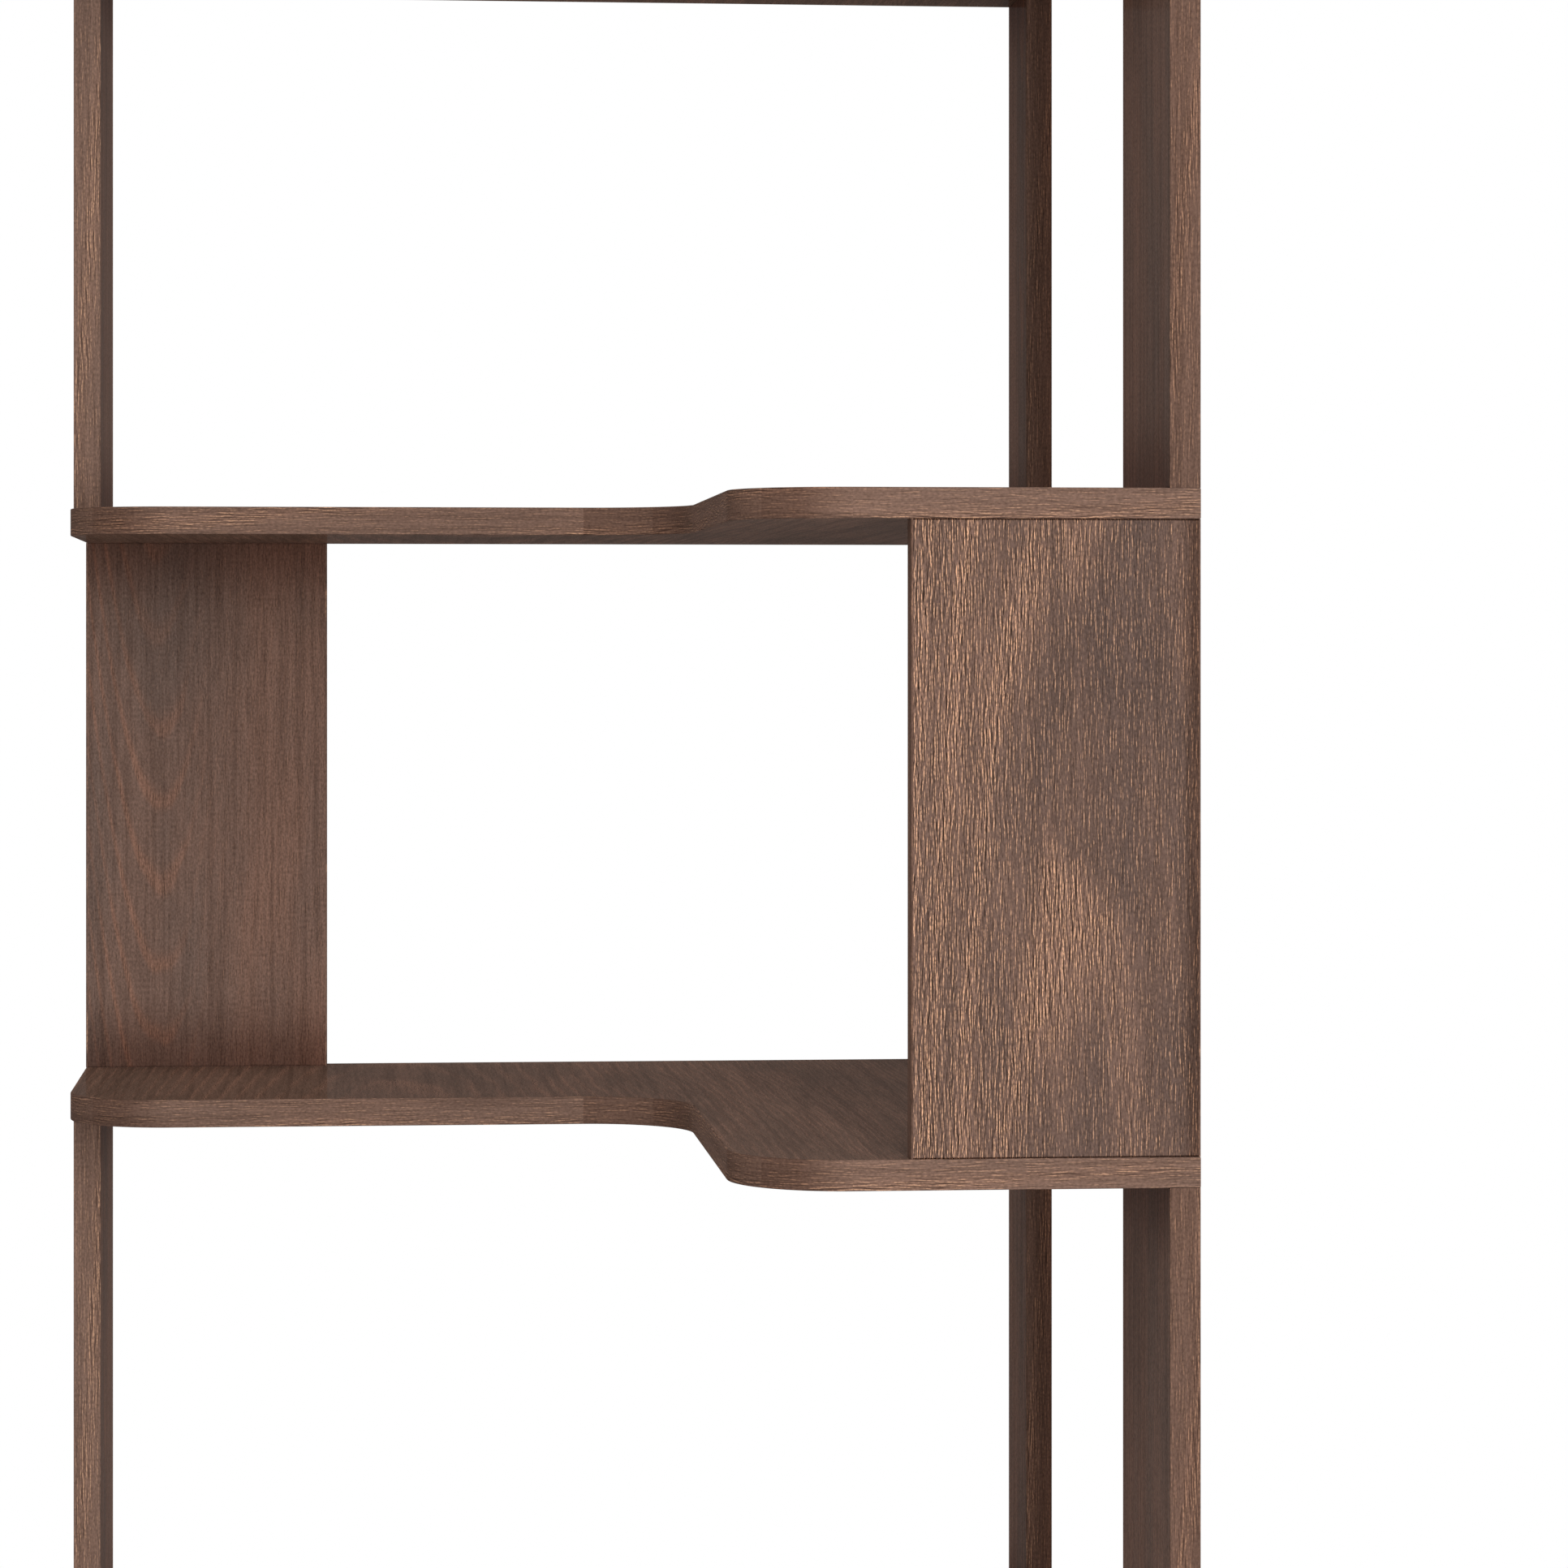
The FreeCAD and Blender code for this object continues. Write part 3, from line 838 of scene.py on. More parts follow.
def place_on(piece: Piece, run: Run, middle: Vector, tones: Span = (0.0, 0.0)) -> None:
    """Store where each face corner lies across and along its board, from -1 to 1, and its tone.

    Args:
        piece: the mesh object.
        run: which way the grain runs.
        middle: the board's middle.
        tones: how much the finish's tone, or painted shade, shows at the low and the high side of the
            board.
    """
    across, along, _ = run.value
    places = [corner - middle for corner in corners_of(piece)]
    wide, long = (max(abs(place[axis]) for place in places) for axis in (across, along))
    first, last = tones
    shares = [(place[across] / wide, place[along] / long) for place in places]
    write_vectors(piece, "place", [
        Vector((over, up, first + (last - first) * (over + 1) / 2)) for over, up in shares])


# Finishes

# BRUSHED's end is painted shade: a narrow dark line at both ends of the board, in the notch where it
# meets a shelf
BRUSHED = WalnutFinish(
    name="brushed_walnut", ground=(0.122, 0.080, 0.066, 1.0), warm=(0.265, 0.153, 0.112, 1.0),
    fleck=(0.95, 0.53, 0.32, 1.0), pore=(0.026, 0.015, 0.011, 1.0), ring=0.00248, wander=9 * MM,
    across=1200.0, along=105.0, fleck_share=0.95, pore_share=0.95, band_share=0.5, fibre_share=1.9,
    stripe_share=0.15, relief=0.08 * MM, density=(0.6, 1.12), plain_side=(0.2, 0.6),
    rich_side=(0.2, -0.8), rich_share=0.64, edge=Shade((0.62, 0.56, 0.52, 1.0), (0.84, 1.0)),
    end=Shade((0.30, 0.24, 0.21, 1.0), (0.993, 0.997)))
# SMOOTH's end is painted shade: its boards darken towards both ends, where the shelves above and below
# shade them
SMOOTH = WalnutFinish(
    name="smooth_walnut", ground=(0.192, 0.128, 0.103, 1.0), warm=(0.300, 0.164, 0.117, 1.0),
    fleck=(0.40, 0.22, 0.14, 1.0), pore=(0.070, 0.040, 0.030, 1.0), ring=0.00055, wander=9 * MM,
    across=1150.0, along=140.0, fleck_share=0.5, pore_share=0.7, band_share=0.8, fibre_share=2.0,
    stripe_share=0.3, relief=0.02 * MM, density=(0.35, 0.85), plain_side=(-0.4, 0.0),
    rich_side=(-0.3, 0.3), band_edge=2.5, end=Shade((0.70, 0.60, 0.57, 1.0), (0.70, 0.99)),
    gloss=0.0, lacquer=0.021)
FIGURED = replace(
    SMOOTH, name="figured_walnut", ground=(0.189, 0.115, 0.084, 1.0), warm=(0.300, 0.166, 0.116, 1.0),
    ring=0.0019, wander=14 * MM, band_share=0.65, band_edge=1.5, plain_side=NOWHERE, rich_side=NOWHERE,
    end=None, lacquer=0.025)
EDGING = WalnutFinish(
    name="walnut_edging", ground=(0.236, 0.147, 0.112, 1.0), warm=(0.300, 0.176, 0.127, 1.0),
    fleck=(0.74, 0.43, 0.27, 1.0), pore=(0.075, 0.043, 0.032, 1.0), ring=0.0020, wander=12 * MM,
    across=1100.0, along=75.0, fleck_share=0.85, pore_share=0.8, band_share=0.5, fibre_share=1.7,
    stripe_share=0.25, relief=0.05 * MM, density=(0.55, 1.15), tone=(0.36, 0.28, 0.25, 1.0))
ZINC = FittingFinish(
    name="cast_zinc", light=(0.62, 0.62, 0.63, 1.0), dark=(0.46, 0.46, 0.48, 1.0), metal=1.0,
    roughness=(0.45, 0.3), spread=(900.0, 900.0, 900.0), relief=0.05 * MM)
STEEL = FittingFinish(
    name="turned_steel", light=(0.60, 0.60, 0.58, 1.0), dark=(0.44, 0.43, 0.40, 1.0), metal=1.0,
    roughness=(0.4, 0.25), spread=(500.0, 500.0, 3000.0), relief=0.03 * MM)
BEECH = FittingFinish(
    name="beech", light=(0.62, 0.42, 0.26, 1.0), dark=(0.46, 0.29, 0.17, 1.0), metal=0.0,
    roughness=(0.75, 0.6), spread=(700.0, 700.0, 84.0), relief=0.06 * MM)
PLASTIC = FittingFinish(
    name="moulded_plastic", light=(0.035, 0.028, 0.025, 1.0), dark=(0.022, 0.018, 0.016, 1.0),
    metal=0.0, roughness=(0.55, 0.42), spread=(1200.0, 1200.0, 1200.0), relief=0.03 * MM)


@dataclass(frozen=True)
class Woods:
    """The bookcase's four walnuts, made ready."""

    brushed: Material
    smooth: Material
    figured: Material
    edging: Material


def make_woods() -> Woods:
    """Make the four walnuts from the same rings and fibres."""
    rings, fibres = GrowthRings().make(), WoodFibres().make()
    return Woods(*(finish.make(rings, fibres) for finish in (BRUSHED, SMOOTH, FIGURED, EDGING)))


# Shelves


@dataclass(frozen=True)
class Banding:
    """The strip that is glued on the edges of the boards, with its outer arrises rounded."""

    thickness: float = 1 * MM
    arris: float = 0.6 * MM
    arris_segments: int = 3

    def round_picked(self) -> None:
        """Round the selected arrises of an edited strip."""
        bevel_picked(self.arris, self.arris_segments)


@dataclass(frozen=True)
class Straight:
    """A straight stretch of a shelf's edge, seen from above."""

    start: Vector
    heading: Vector
    length: float
    tone: float

    def find(self, place: Vector) -> tuple[float, float, float]:
        """Find a point on the stretch.

        Args:
            place: the point.

        Returns:
            Its distance from the stretch, how far along it lies and the tone there.
        """
        arm = place.xy - self.start
        way = arm.dot(self.heading)
        beyond = max(0.0, -way, way - self.length)
        return math.hypot(arm.cross(self.heading), beyond), way, self.tone


@dataclass(frozen=True)
class Bend:
    """A quarter turn of a shelf's edge, from one direction round its centre to another."""

    centre: Vector
    first: Vector
    second: Vector
    radius: float
    last_tone: float
    blocks: tuple[Span, ...] = ((11 / 24, 0.525), (17 / 24, 0.656))
    farthest: float = 1.1

    @property
    def length(self) -> float:
        """Length of the bent edge."""
        return self.radius * QUARTER_TURN

    def tone_at(self, share: float) -> float:
        """Tone at a share of the bend: its blocks, then a fade to the tone of the edge after it.

        Args:
            share: how far round the bend, from 0 to 1.

        Returns:
            The share of the finish's tone.
        """
        for end, tone in self.blocks:
            if share < end:
                return tone
        last, dark = self.blocks[-1]
        return dark + (self.last_tone - dark) * (share - last) / (1 - last)

    def find(self, place: Vector) -> tuple[float, float, float]:
        """Find a point on the bend.

        Args:
            place: the point.

        Returns:
            0, or infinity for a point beside the bend, then how far along it lies and the tone there.
        """
        arm = place.xy - self.centre
        turn = math.atan2(arm.dot(self.second), arm.dot(self.first))
        is_on = 0 < turn < QUARTER_TURN and arm.length < self.farthest * self.radius
        return 0.0 if is_on else math.inf, self.radius * turn, self.tone_at(turn / QUARTER_TURN)


@dataclass
class Shelf:
    """One L-shaped shelf: a board, and the strip glued round its edge; both are modelled at height 0."""

    number: int
    wing_depth: float = 240 * MM
    corner_radius: float = 60 * MM
    bend_segments: int = 24
    banding: Banding = Banding()
    glide_inset: float = 30 * MM
    stem_radius: float = 1.6 * MM
    stem_depth: float = 9.5 * MM
    edge_tone: float = 0.2
    # Painted shade on the straight step between the wings, which faces left, away from the key lamp
    step_shade: float = 0.36
    first_axis: float = -0.26
    axis_step: float = 0.05
    climb: float = 0.011
    first_seed: float = 0.3
    seed_step: float = 0.47
    strip_axis: float = 0.05
    strip_climb: float = 0.004
    strip_seed_step: float = 0.29
    inside_share: float = 0.02
    low: Vector = field(init=False)
    high: Vector = field(init=False)
    board: Piece = field(init=False)
    strip: Piece = field(init=False)

    def __post_init__(self) -> None:
        """Take the shelf's place from the frame."""
        self.low, self.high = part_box(self.strip_node)

    @property
    def board_node(self) -> str:
        """Name of the board in the frame."""
        return f"shelf_{self.number}"

    @property
    def strip_node(self) -> str:
        """Name of the edge strips in the frame."""
        return f"shelf_{self.number}_edge_bands"

    @property
    def inner(self) -> Vector:
        """Where the inner edges of the two wings would meet without their bend, seen from above."""
        return Vector((self.high.x - self.wing_depth, self.high.y - self.wing_depth))

    def model_slab(self, name: str, inset: float) -> Piece:
        """Model an L-shaped slab with its rounded corners and sharp arrises.

        Args:
            name: name of the piece.
            inset: how far its sides lie inside the shelf's outline.

        Returns:
            The slab's mesh object.
        """
        low = self.low.xy + Vector((inset, inset))
        inner = self.inner + Vector((inset, inset))
        top = Vector((self.high.x - inset, self.high.y - inset, self.high.z - self.low.z))
        slab = add_block(name, inner.to_3d(), top)
        with editing(slab):
            pull_face(slab, lambda face: looks(face, LEFT), LEFT * (inner.x - low.x))
            pull_face(slab, lambda face: looks(face, FRONT) and face.calc_center_median().x > inner.x,
                      FRONT * (inner.y - low.y))
            bpy.ops.mesh.select_all(action="SELECT")
            bpy.ops.mesh.dissolve_limited(angle_limit=FLAT)
            self._bend_upright_edges(slab, (Vector((low.x, inner.y)), Vector((inner.x, low.y))), -inset)
            self._bend_upright_edges(slab, (inner,), inset)
        return slab

    def _bend_upright_edges(self, slab: Piece, places: Sequence[Vector], extra: float) -> None:
        """Round the upright edges at some places of the plan.

        Args:
            slab: the slab in edit mode.
            places: where the edges stand.
            extra: what is added to the corner radius.
        """
        pick(slab, Part.EDGE, lambda edge: runs_along(edge, Z_AXIS)
             and any((edge.verts[0].co.xy - place).length < SAME_PLACE for place in places))
        bevel_picked(self.corner_radius + extra, self.bend_segments)

    def model_board(self) -> Piece:
        """Model the board inside the strip, without its holes."""
        return self.model_slab("shelf_blank", self.banding.thickness)

    def model_strip(self) -> Piece:
        """Model the strip: a slab with rounded arrises, hollowed to the strip's thickness.

        Returns:
            The strip's mesh object.
        """
        strip = self.model_slab("strip_blank", 0.0)
        with editing(strip):
            pick(strip, Part.EDGE, lambda edge: is_near(edge.verts[0].co.z, edge.verts[1].co.z))
            self.banding.round_picked()
            pick(strip, Part.FACE, lambda face: looks(face, UP) or looks(face, -UP))
            bpy.ops.mesh.inset(thickness=self.banding.thickness - self.banding.arris)
            bpy.ops.mesh.delete(type="FACE")
            pick(strip, Part.EDGE, lambda edge: edge.is_boundary)
            bpy.ops.mesh.bridge_edge_loops()
            bpy.ops.mesh.select_all(action="SELECT")
            bpy.ops.mesh.normals_make_consistent(inside=False)
        smooth_over(strip)
        return strip

    def build(self, board: Piece, strip: Piece, holes: Sequence[Hole]) -> None:
        """Set copies of the modelled board and strip in their place, and drill the board.

        Args:
            board: the modelled board.
            strip: the modelled strip.
            holes: where bolts, dowels and stems sit in this shelf.
        """
        stance = Matrix.Translation(UP * self.low.z)
        self.board = place_copy(board, f"shelf_board_{self.number}", stance)
        self.strip = place_copy(strip, f"shelf_edging_{self.number}", stance)
        drill(self.board, holes)
        smooth_over(self.board)

    def glide_holes(self) -> list[Hole]:
        """Holes in the underside for the stems of the glides.

        Returns:
            A hole for each glide: at the walls, in the inner bend and at the open corner of each wing.
        """
        length, depth, inset = self.high.x - self.low.x, self.wing_depth, self.glide_inset
        end, bend, far = length - self.corner_radius, depth - self.corner_radius, length - inset
        places = ((inset, inset), (far, inset), (inset, far),
                  (depth - inset, depth - inset), (end, bend), (bend, end))
        corner = Vector((*self.high.xy, self.low.z))
        return [Hole(corner - Vector((*place, 0.0)), UP, self.stem_radius, self.stem_depth)
                for place in places]

    def edge_stretches(self) -> list[Straight | Bend]:
        """List the stretches of the shelf's edge.

        Returns:
            The stretches in order, along the open edge from left to right and back along the walls.
        """
        low, inner, high, radius = self.low.xy, self.inner, self.high.xy, self.corner_radius
        left, front = LEFT.xy, FRONT.xy
        right, back = -left, -front
        outer = radius * (right + back)
        straight = self.wing_depth - radius
        reach = high.x - low.x - self.wing_depth - 2 * radius
        tone = self.edge_tone
        return [
            Straight(Vector((low.x, high.y)), front, straight, tone),
            Bend(Vector((low.x, inner.y)) + outer, left, front, radius, tone),
            Straight(Vector((low.x + radius, inner.y)), right, reach, tone),
            Bend(inner - outer, back, right, radius, tone),
            Straight(Vector((inner.x, inner.y - radius)), front, reach, self.step_shade),
            Bend(Vector((inner.x, low.y)) + outer, left, front, radius, tone),
            Straight(Vector((inner.x + radius, low.y)), right, straight, tone),
            Straight(Vector((high.x, low.y)), back, high.y - low.y, tone),
            Straight(high, left, high.x - low.x, tone),
        ]

    def dress_strip(self) -> None:
        """Store the strip's grain, which runs along the edge, and its tone, which on the step is painted
        shade.

        A face corner takes both from the stretch that its face lies on, so it is looked up a little
        inside the face.
        """
        mesh, seed = self.strip.data, self.strip_seed_step * self.number
        stretches = self.edge_stretches()
        starts = [0.0, *accumulate(stretch.length for stretch in stretches)]
        grain, tones = [], []
        for face in mesh.polygons:
            for index in face.loop_indices:
                corner = mesh.vertices[mesh.loops[index].vertex_index].co
                inside = corner.lerp(face.center, self.inside_share)
                found = [(*stretch.find(inside), start) for stretch, start in zip(stretches, starts)]
                _, way, tone, start = min(found)
                grain.append(Vector((corner.z - self.low.z + seed, start + way + seed, seed)))
                tones.append(Vector((0.0, 0.0, tone)))
        rings = Vector((seed + self.strip_axis, 0.0, self.strip_climb))
        write_vectors(self.strip, "grain", grain)
        write_vectors(self.strip, "cut", [rings] * len(grain))
        write_vectors(self.strip, "place", tones)

    def cut(self) -> Cut:
        """How the board was sawn, a step further across the log for each shelf.

        Returns:
            The board's cut.
        """
        axis = self.first_axis + self.axis_step * self.number
        seed = self.first_seed + self.seed_step * self.number
        return Cut(axis, 0.0, self.climb, seed)

    def dress(self, woods: Woods) -> None:
        """Finish the board and the strip.

        Args:
            woods: the walnuts.
        """
        grain_of(self.board, Run.FRONT_TO_BACK, (self.low + self.high) / 2, self.cut())
        finish_piece(self.board, Slot.BOARD, woods.figured, self.board_node)
        self.dress_strip()
        finish_piece(self.strip, Slot.EDGE, woods.edging, self.strip_node)


# Uprights

# How the two boards that show most were sawn, and the ranges of axis, start, climb and seed for the rest
CHOSEN_CUTS = {
    "tier_3_right_board": Cut(0.009, 0.00233, 0.00944, 0.71),
    "tier_3_left_board": Cut(-0.030, 0.0, -0.011, 1.43),
}
USUAL_CUTS: tuple[Span, ...] = ((-0.06, 0.06), (0.0, 0.001), (-0.011, 0.011), (0.5, 2.5))
GOLDEN_SECTION = 0.381966
# The strips' cut and tones, and how their seed grows from tier to tier, side to side and edge to edge;
# the corner strips' tones are painted shade from the right upright in front of them, darker towards the
# right, and the right strips' tone is their own darker colour
STRIP_CUT = Cut(axis=0.04, start=0.0, climb=0.006, seed=0.0)
STRIP_TONES_AND_SHADES = {Side.LEFT: (0.0, 0.0), Side.RIGHT: (0.49, 0.49), Side.CORNER: (0.5, 0.95)}
STRIP_SEED_STEPS = (0.37, 0.11, 0.053)


@dataclass
class Upright:
    """One upright board between two shelves, with the strips on its long edges.

    Boards are modelled standing on the origin, with their width along x and their cam locks to the back.
    A strip is modelled with its glued face at the origin and its outer one to the right.
    """

    tier: int
    side: Side
    banding: Banding = Banding()
    end_notch: float = 0.6 * MM
    notch_segments: int = 2
    cam_radius: float = 7.5 * MM
    cam_depth: float = 12.5 * MM
    cam_sides: int = 48
    cam_setback: float = 24 * MM
    cam_inset: float = 32 * MM
    corner_cam_inset: float = 22 * MM
    bolt_radius: float = 3.6 * MM
    bolt_thread_radius: float = 3.1 * MM
    dowel_radius: float = 4.1 * MM
    dowel_in_board: float = 18.5 * MM
    depth_in_shelf: float = 11.5 * MM
    low: Vector = field(init=False)
    high: Vector = field(init=False)
    board: Piece = field(init=False)
    strips: list[Piece] = field(init=False)

    def __post_init__(self) -> None:
        """Take the board's place from the frame."""
        self.low, self.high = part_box(self.node)

    @property
    def node(self) -> str:
        """Name of the board in the frame."""
        return f"tier_{self.tier}_{self.side.value}_board"

    @property
    def place(self) -> int:
        """Number of the board in its tier, from 0."""
        return list(Side).index(self.side)

    @property
    def size(self) -> Vector:
        """Length of the board along each axis."""
        return self.high - self.low

    @property
    def width(self) -> float:
        """Width of the board without its strips."""
        return max(self.size.xy)

    @property
    def thickness(self) -> float:
        """Thickness of the board."""
        return min(self.size.xy)

    @property
    def middle(self) -> Vector:
        """Middle of the board."""
        return (self.low + self.high) / 2

    @property
    def faces_front(self) -> bool:
        """Whether the board's broad face looks to the front."""
        return self.size.x > self.size.y

    @property
    def stance(self) -> Matrix:
        """How a modelled board is set up here, with its cam locks to the nearer wall or end."""
        turn = 0.0 if self.faces_front else math.copysign(QUARTER_TURN, -self.middle.x)
        return Matrix.Translation((*self.middle.xy, self.low.z)) @ Matrix.Rotation(turn, 4, "Z")

    def fastener_places(self) -> tuple[tuple[float, ...], tuple[float, ...]]:
        """Where the fasteners stand across the board's width, from its middle.

        Returns:
            Places of the cam bolts, and of the dowels.
        """
        half = self.width / 2 + self.banding.thickness
        if self.side is Side.CORNER:
            reach = half - self.corner_cam_inset
            return (reach,), (-reach,)
        reach = half - self.cam_inset
        return (-reach, reach), (0.0,)

    def cam_pockets(self) -> list[Hole]:
        """Pockets of the cam locks in a modelled board.

        Returns:
            A pocket at both ends of the board for each bolt.
        """
        bolts, _ = self.fastener_places()
        levels = (self.cam_setback, self.size.z - self.cam_setback)
        mouths = [Vector((bolt, self.thickness / 2, level)) for bolt in bolts for level in levels]
        return [Hole(mouth, FRONT, self.cam_radius, self.cam_depth, self.cam_sides) for mouth in mouths]

    def end_holes(self) -> list[Hole]:
        """Holes in both ends of a modelled board, for bolts and dowels.

        Returns:
            A hole at both ends of the board for each fastener.
        """
        kinds = ((self.bolt_radius, self.cam_setback), (self.dowel_radius, self.dowel_in_board))
        holes = []
        for level, inward in ((0.0, UP), (self.size.z, -UP)):
            for places, (radius, depth) in zip(self.fastener_places(), kinds):
                holes += [Hole(Vector((place, 0.0, level)), inward, radius, depth) for place in places]
        return holes

    def shelf_holes(self, level: float, inward: Vector) -> list[Hole]:
        """Holes that this board's fasteners need in a shelf.

        Args:
            level: height of the shelf's face.
            inward: direction into the shelf.

        Returns:
            A hole for each bolt and dowel.
        """
        radii = (self.bolt_thread_radius, self.dowel_radius)
        holes = []
        for places, radius in zip(self.fastener_places(), radii):
            for place in places:
                mouth = self.stance @ Vector((place, 0.0, 0.0))
                mouth.z = level
                holes.append(Hole(mouth, inward, radius, self.depth_in_shelf))
        return holes

    def model_board(self) -> Piece:
        """Model a board of this kind: a block with notched ends, cam pockets and drilled ends.

        Returns:
            The board's mesh object.
        """
        foot = Vector((self.width, self.thickness, 0.0)) / 2
        board = add_block("upright_blank", -foot, foot + UP * self.size.z)
        with editing(board):
            pick(board, Part.EDGE, lambda edge: runs_along(edge, X_AXIS))
            bevel_picked(self.end_notch, self.notch_segments, profile=0.0)
        drill(board, self.cam_pockets())
        drill(board, self.end_holes())
        smooth_over(board)
        return board

    def model_strip(self) -> Piece:
        """Model the strip for one long edge, with its outer arrises rounded.

        Returns:
            The strip's mesh object.
        """
        half, band = self.thickness / 2, self.banding.thickness
        strip = add_block("edging_blank", Vector((0.0, -half, 0.0)), Vector((band, half, self.size.z)))
        with editing(strip):
            pick(strip, Part.EDGE,
                 lambda edge: runs_along(edge, Z_AXIS) and is_near(edge.verts[0].co.x, band))
            self.banding.round_picked()
        smooth_over(strip)
        return strip

    def build(self, board: Piece, strip: Piece) -> None:
        """Stand copies of the modelled board and strip in their place.

        Args:
            board: the modelled board.
            strip: the modelled strip.
        """
        name = f"tier_{self.tier}_{self.side.value}"
        right = Matrix.Translation((self.width / 2, 0.0, 0.0))
        left = Matrix.Rotation(math.pi, 4, "Z") @ right
        self.board = place_copy(board, f"{name}_upright", self.stance)
        self.strips = [place_copy(strip, f"{name}_strip", self.stance @ edge) for edge in (left, right)]

    def cut(self) -> Cut:
        """How the board was sawn, which differs from its neighbours.

        Returns:
            The board's chosen cut, or else one out of the usual range.
        """
        share = (GOLDEN_SECTION * (len(Side) * self.tier + self.place)) % 1.0
        usual = Cut(*(low + (high - low) * share for low, high in USUAL_CUTS))
        return CHOSEN_CUTS.get(self.node, usual)

    def dress(self, woods: Woods) -> None:
        """Finish the board, and store the grain and tone of its strips; on the corner strips that tone
        is painted shade.

        Args:
            woods: the walnuts.
        """
        faces = (Run.UPRIGHT_FACING_FRONT, Run.UPRIGHT_FACING_SIDE)
        broad, narrow = faces if self.faces_front else reversed(faces)
        grain_of(self.board, broad, self.middle, self.cut())
        place_on(self.board, broad, self.middle)
        is_brushed = self.faces_front and self.side is Side.RIGHT
        finish_piece(self.board, Slot.BOARD, woods.brushed if is_brushed else woods.smooth, self.node)
        for edge, strip in enumerate(self.strips):
            places = (self.tier, self.place, edge)
            seed = sum(step * place for step, place in zip(STRIP_SEED_STEPS, places))
            grain_of(strip, narrow, self.middle, replace(STRIP_CUT, seed=seed))
            place_on(strip, narrow, self.middle, STRIP_TONES_AND_SHADES[self.side])


@dataclass
class Tier:
    """The three uprights between two shelves."""

    number: int
    uprights: list[Upright] = field(init=False)

    def __post_init__(self) -> None:
        """List the tier's uprights."""
        self.uprights = [Upright(self.number, side) for side in Side]

    def shelf_holes(self, level: float, inward: Vector) -> list[Hole]:
        """Holes that the tier's fasteners need in a shelf at this level."""
        return [hole for upright in self.uprights for hole in upright.shelf_holes(level, inward)]

    def build(self, boards: dict[Side, Piece], strip: Piece) -> None:
        """Stand the tier's uprights.

        Args:
            boards: the modelled board for each side.
            strip: the modelled strip.
        """
        for upright in self.uprights:
            upright.build(boards[upright.side], strip)

    def dress(self, woods: Woods) -> None:
        """Finish the uprights, and their strips as one piece.

        Args:
            woods: the walnuts.
        """
        for upright in self.uprights:
            upright.dress(woods)
        strips = [strip for upright in self.uprights for strip in upright.strips]
        edging = join_as(f"tier_{self.number}_edging", strips)
        finish_piece(edging, Slot.EDGE, woods.edging, f"tier_{self.number}_board_bands")


# Fittings


@dataclass(frozen=True)
class Fitting:
    """A kind of fastener or foot, whose shape in the frame is kept."""

    node: str
    finish: FittingFinish

    def dress(self) -> None:
        """Give all of its kind their finish."""
        material = self.finish.make()
        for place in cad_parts[self.node].material_slots:
            place.material = material
        LOG.info("%s: finished in %s", self.node, self.finish.name)


# The bookcase


@dataclass
class Bookcase:
    """The whole bookcase: tiers of uprights, the shelves on and under them, and their fittings."""

    FITTINGS: ClassVar[tuple[Fitting, ...]] = (
        Fitting("cam_locks", ZINC),
        Fitting("cam_bolts", STEEL),
        Fitting("wooden_dowels", BEECH),
        Fitting("glides", PLASTIC),
    )

    tiers: list[Tier] = field(init=False)
    shelves: list[Shelf] = field(init=False)

    def __post_init__(self) -> None:
        """Count the tiers in the frame and list them, from the floor up, with the shelves."""
        count = sum(name.endswith("_board_bands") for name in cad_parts)
        self.tiers = [Tier(number) for number in range(1, count + 1)]
        self.shelves = [Shelf(number) for number in range(1, count + 2)]

    def build_tiers(self) -> None:
        """Model the wide upright, the corner one and their strip, and stand copies in all the tiers."""
        left, _, corner = self.tiers[0].uprights
        wide, narrow, strip = left.model_board(), corner.model_board(), left.model_strip()
        for tier in self.tiers:
            tier.build({Side.LEFT: wide, Side.RIGHT: wide, Side.CORNER: narrow}, strip)
        for model in (wide, narrow, strip):
            bpy.data.objects.remove(model)

    def build_shelves(self) -> None:
        """Model a shelf and its strip, and set copies of them on the tiers."""
        board, strip = self.shelves[0].model_board(), self.shelves[0].model_strip()
        for shelf in self.shelves:
            shelf.build(board, strip, self.holes_in(shelf))
        for model in (board, strip):
            bpy.data.objects.remove(model)

    def holes_in(self, shelf: Shelf) -> list[Hole]:
        """List the holes that a shelf needs for the tiers on it and under it, and for its glides.

        Args:
            shelf: the shelf.

        Returns:
            Its holes.
        """
        holes = shelf.glide_holes() if shelf is self.shelves[0] else []
        for tier in self.tiers:
            if tier.number == shelf.number:
                holes += tier.shelf_holes(shelf.high.z, -UP)
            if tier.number == shelf.number - 1:
                holes += tier.shelf_holes(shelf.low.z, UP)
        return holes

    def dress(self, woods: Woods) -> None:
        """Finish every piece.

        Args:
            woods: the walnuts.
        """
        for group in (*self.tiers, *self.shelves):
            group.dress(woods)
        for fitting in self.FITTINGS:
            fitting.dress()


# Studio


@dataclass(frozen=True)
class Lamp:
    """A soft lamp with a rectangular face, in watts, that looks at a target."""

    name: str
    place: Vector
    target: Vector
    size: Span
    power: float

    def add(self) -> None:
        """Hang the lamp."""
        light = bpy.data.lights.new(self.name, "AREA")
        light.shape = "RECTANGLE"
        light.size, light.size_y = self.size
        light.energy = self.power
        holder = bpy.data.objects.new(self.name, light)
        holder.location = self.place
        holder.rotation_euler = (self.target - self.place).to_track_quat("-Z", "Y").to_euler()
        bpy.context.scene.collection.objects.link(holder)


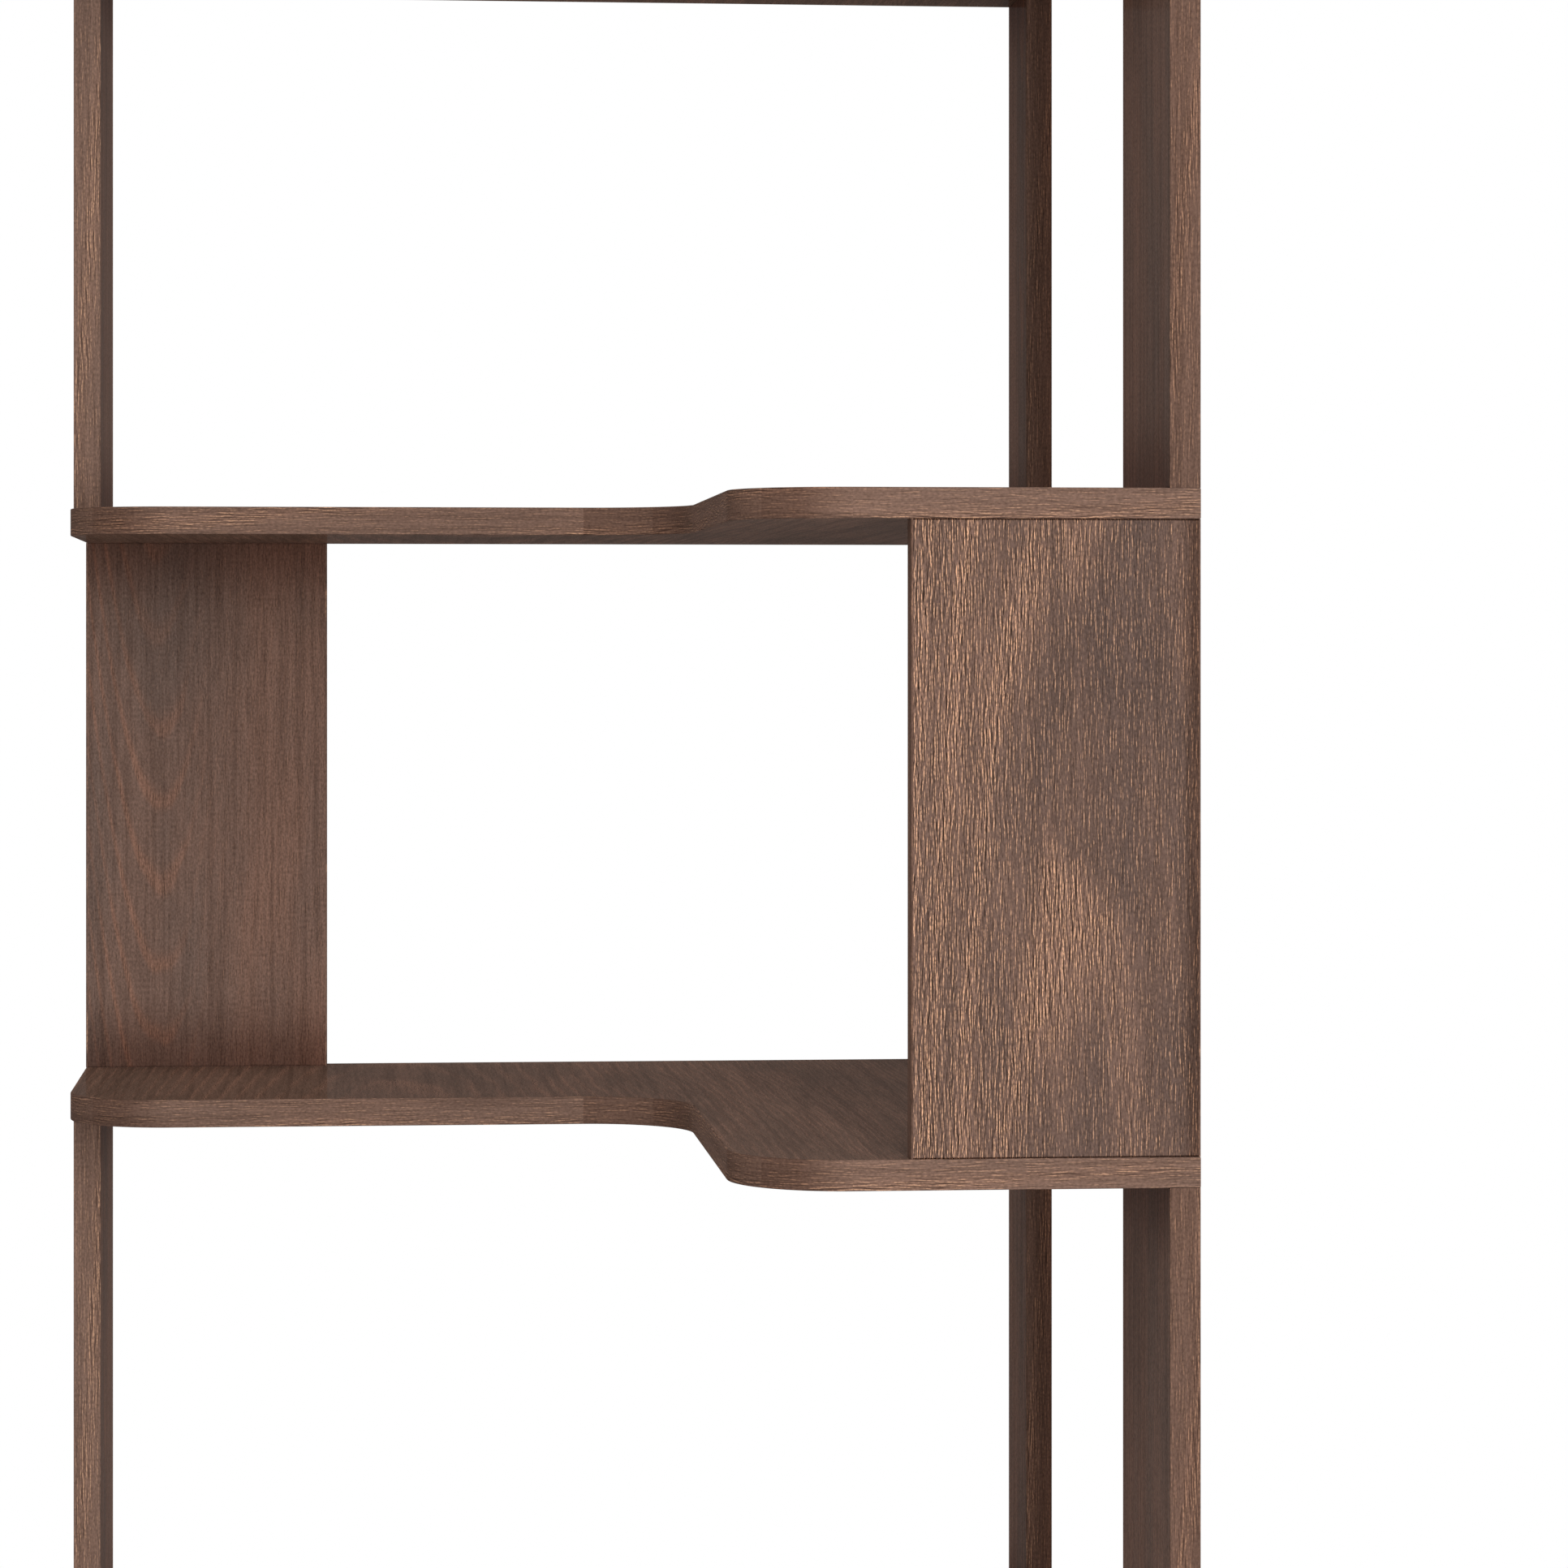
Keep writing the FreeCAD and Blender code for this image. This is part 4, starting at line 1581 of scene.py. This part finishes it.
@dataclass
class Studio:
    """Camera, lamps, white surroundings and a pale floor."""

    LAMPS: ClassVar[tuple[Lamp, ...]] = (
        Lamp("key", Vector((0.3, -2.5, 1.08)), Vector((0.2, 0.0, 1.0)), (0.14, 1.9), 32.5),
        Lamp("top", Vector((-0.2, -1.7, 2.5)), Vector((0.0, 0.0, 0.9)), (1.6, 0.5), 5.5),
    )
    WHITE: ClassVar[Colour] = (1.0, 1.0, 1.0, 1.0)

    eye: Vector = field(default_factory=lambda: Vector((-0.1362, -2.7129, 0.9668)))
    turn: float = 0.0913
    lens: float = 109.06
    sensor: float = 36.0
    rise: float = -0.08325
    ambient_rise: Span = (-0.5, 0.5)
    ambient_below: float = 0.27
    ambient_above: float = 0.54
    ambient_front: float = 0.65
    ambient_tilt: float = 0.15
    floor_radius: float = 2.2
    floor_sides: int = 128
    floor_fade: Span = (0.35, 0.97)
    floor_tone: Colour = (0.7, 0.7, 0.7, 1.0)
    floor_seen: Colour = (0.9, 0.9, 0.9, 1.0)
    floor_lift: float = 0.3
    floor_roughness: float = 0.9
    floor_gloss: float = 0.1

    def add_camera(self) -> None:
        """Stand the camera level, turned a little to the right."""
        lens = bpy.data.cameras.new("camera")
        lens.sensor_fit = "HORIZONTAL"
        lens.sensor_width = self.sensor
        lens.lens = self.lens
        lens.shift_y = self.rise
        camera = bpy.data.objects.new("camera", lens)
        camera.location = self.eye
        camera.rotation_euler = (QUARTER_TURN, 0.0, -self.turn)
        bpy.context.scene.collection.objects.link(camera)
        bpy.context.scene.camera = camera

    def add_surroundings(self) -> None:
        """Surround the object with soft light, and with white where a ray looks straight at it."""
        world = bpy.data.worlds.new("surroundings")
        world.use_nodes = True
        world.node_tree.nodes.clear()
        bpy.context.scene.world = world
        desk = NodeDesk(world.node_tree)
        path = desk.node("ShaderNodeLightPath").outputs
        direct = desk.math("MAXIMUM", path["Is Camera Ray"], path["Is Glossy Ray"])
        direct = desk.math("MAXIMUM", direct, path["Is Transmission Ray"])
        side, _, height = desk.split(desk.node("ShaderNodeTexCoord").outputs["Generated"])
        tilted = desk.math("ADD", side, self.ambient_tilt)
        wings = desk.math("MULTIPLY_ADD", side, tilted, self.ambient_front)
        level = desk.ease(height, *self.ambient_rise, self.ambient_below, self.ambient_above)
        soft = desk.node("ShaderNodeBackground", self.WHITE, desk.math("MULTIPLY", level, wings))
        white = desk.node("ShaderNodeBackground", self.WHITE, 1.0)
        mix = desk.node("ShaderNodeMixShader", direct, soft.outputs[0], white.outputs[0])
        desk.node("ShaderNodeOutputWorld", mix.outputs[0])

    def add_floor(self) -> None:
        """Lay a pale disc under the object, paler to the camera, that fades into the white round it."""
        bpy.ops.object.select_all(action="DESELECT")
        bpy.ops.mesh.primitive_circle_add(
            vertices=self.floor_sides, radius=self.floor_radius, fill_type="NGON")
        floor = bpy.context.active_object
        floor.name = floor.data.name = "floor"
        material, desk, shader = new_material("pale_floor")
        place = desk.node("ShaderNodeTexCoord").outputs["Object"]
        away = desk.node("ShaderNodeVectorMath", place, operation="LENGTH").outputs[1]
        fade = desk.ease(away, *(self.floor_radius * share for share in self.floor_fade))
        seen = desk.node("ShaderNodeLightPath").outputs["Is Camera Ray"]
        desk.feed(shader.inputs["Base Color"], desk.blend(seen, self.floor_tone, self.floor_seen))
        desk.feed(shader.inputs["Emission Strength"], desk.math("MULTIPLY", seen, self.floor_lift))
        shader.inputs["Emission Color"].default_value = self.WHITE
        shader.inputs["Roughness"].default_value = self.floor_roughness
        shader.inputs["Specular IOR Level"].default_value = self.floor_gloss
        clear = desk.node("ShaderNodeBsdfTransparent")
        mix = desk.node("ShaderNodeMixShader", fade, shader.outputs[0], clear.outputs[0])
        desk.feed(material.node_tree.nodes["Material Output"].inputs["Surface"], mix.outputs[0])
        floor.data.materials.append(material)

    def build(self) -> None:
        """Set up everything round the object."""
        bpy.context.scene.view_settings.view_transform = "Standard"
        self.add_camera()
        for lamp in self.LAMPS:
            lamp.add()
        self.add_surroundings()
        self.add_floor()


def main() -> None:
    """Build the bookcase piece by piece and set it in the studio."""
    logging.basicConfig(level=logging.INFO, format="%(name)s: %(message)s")
    bookcase = Bookcase()
    bookcase.build_tiers()
    bookcase.build_shelves()
    bookcase.dress(make_woods())
    Studio().build()


if __name__ == "__main__":
    main()
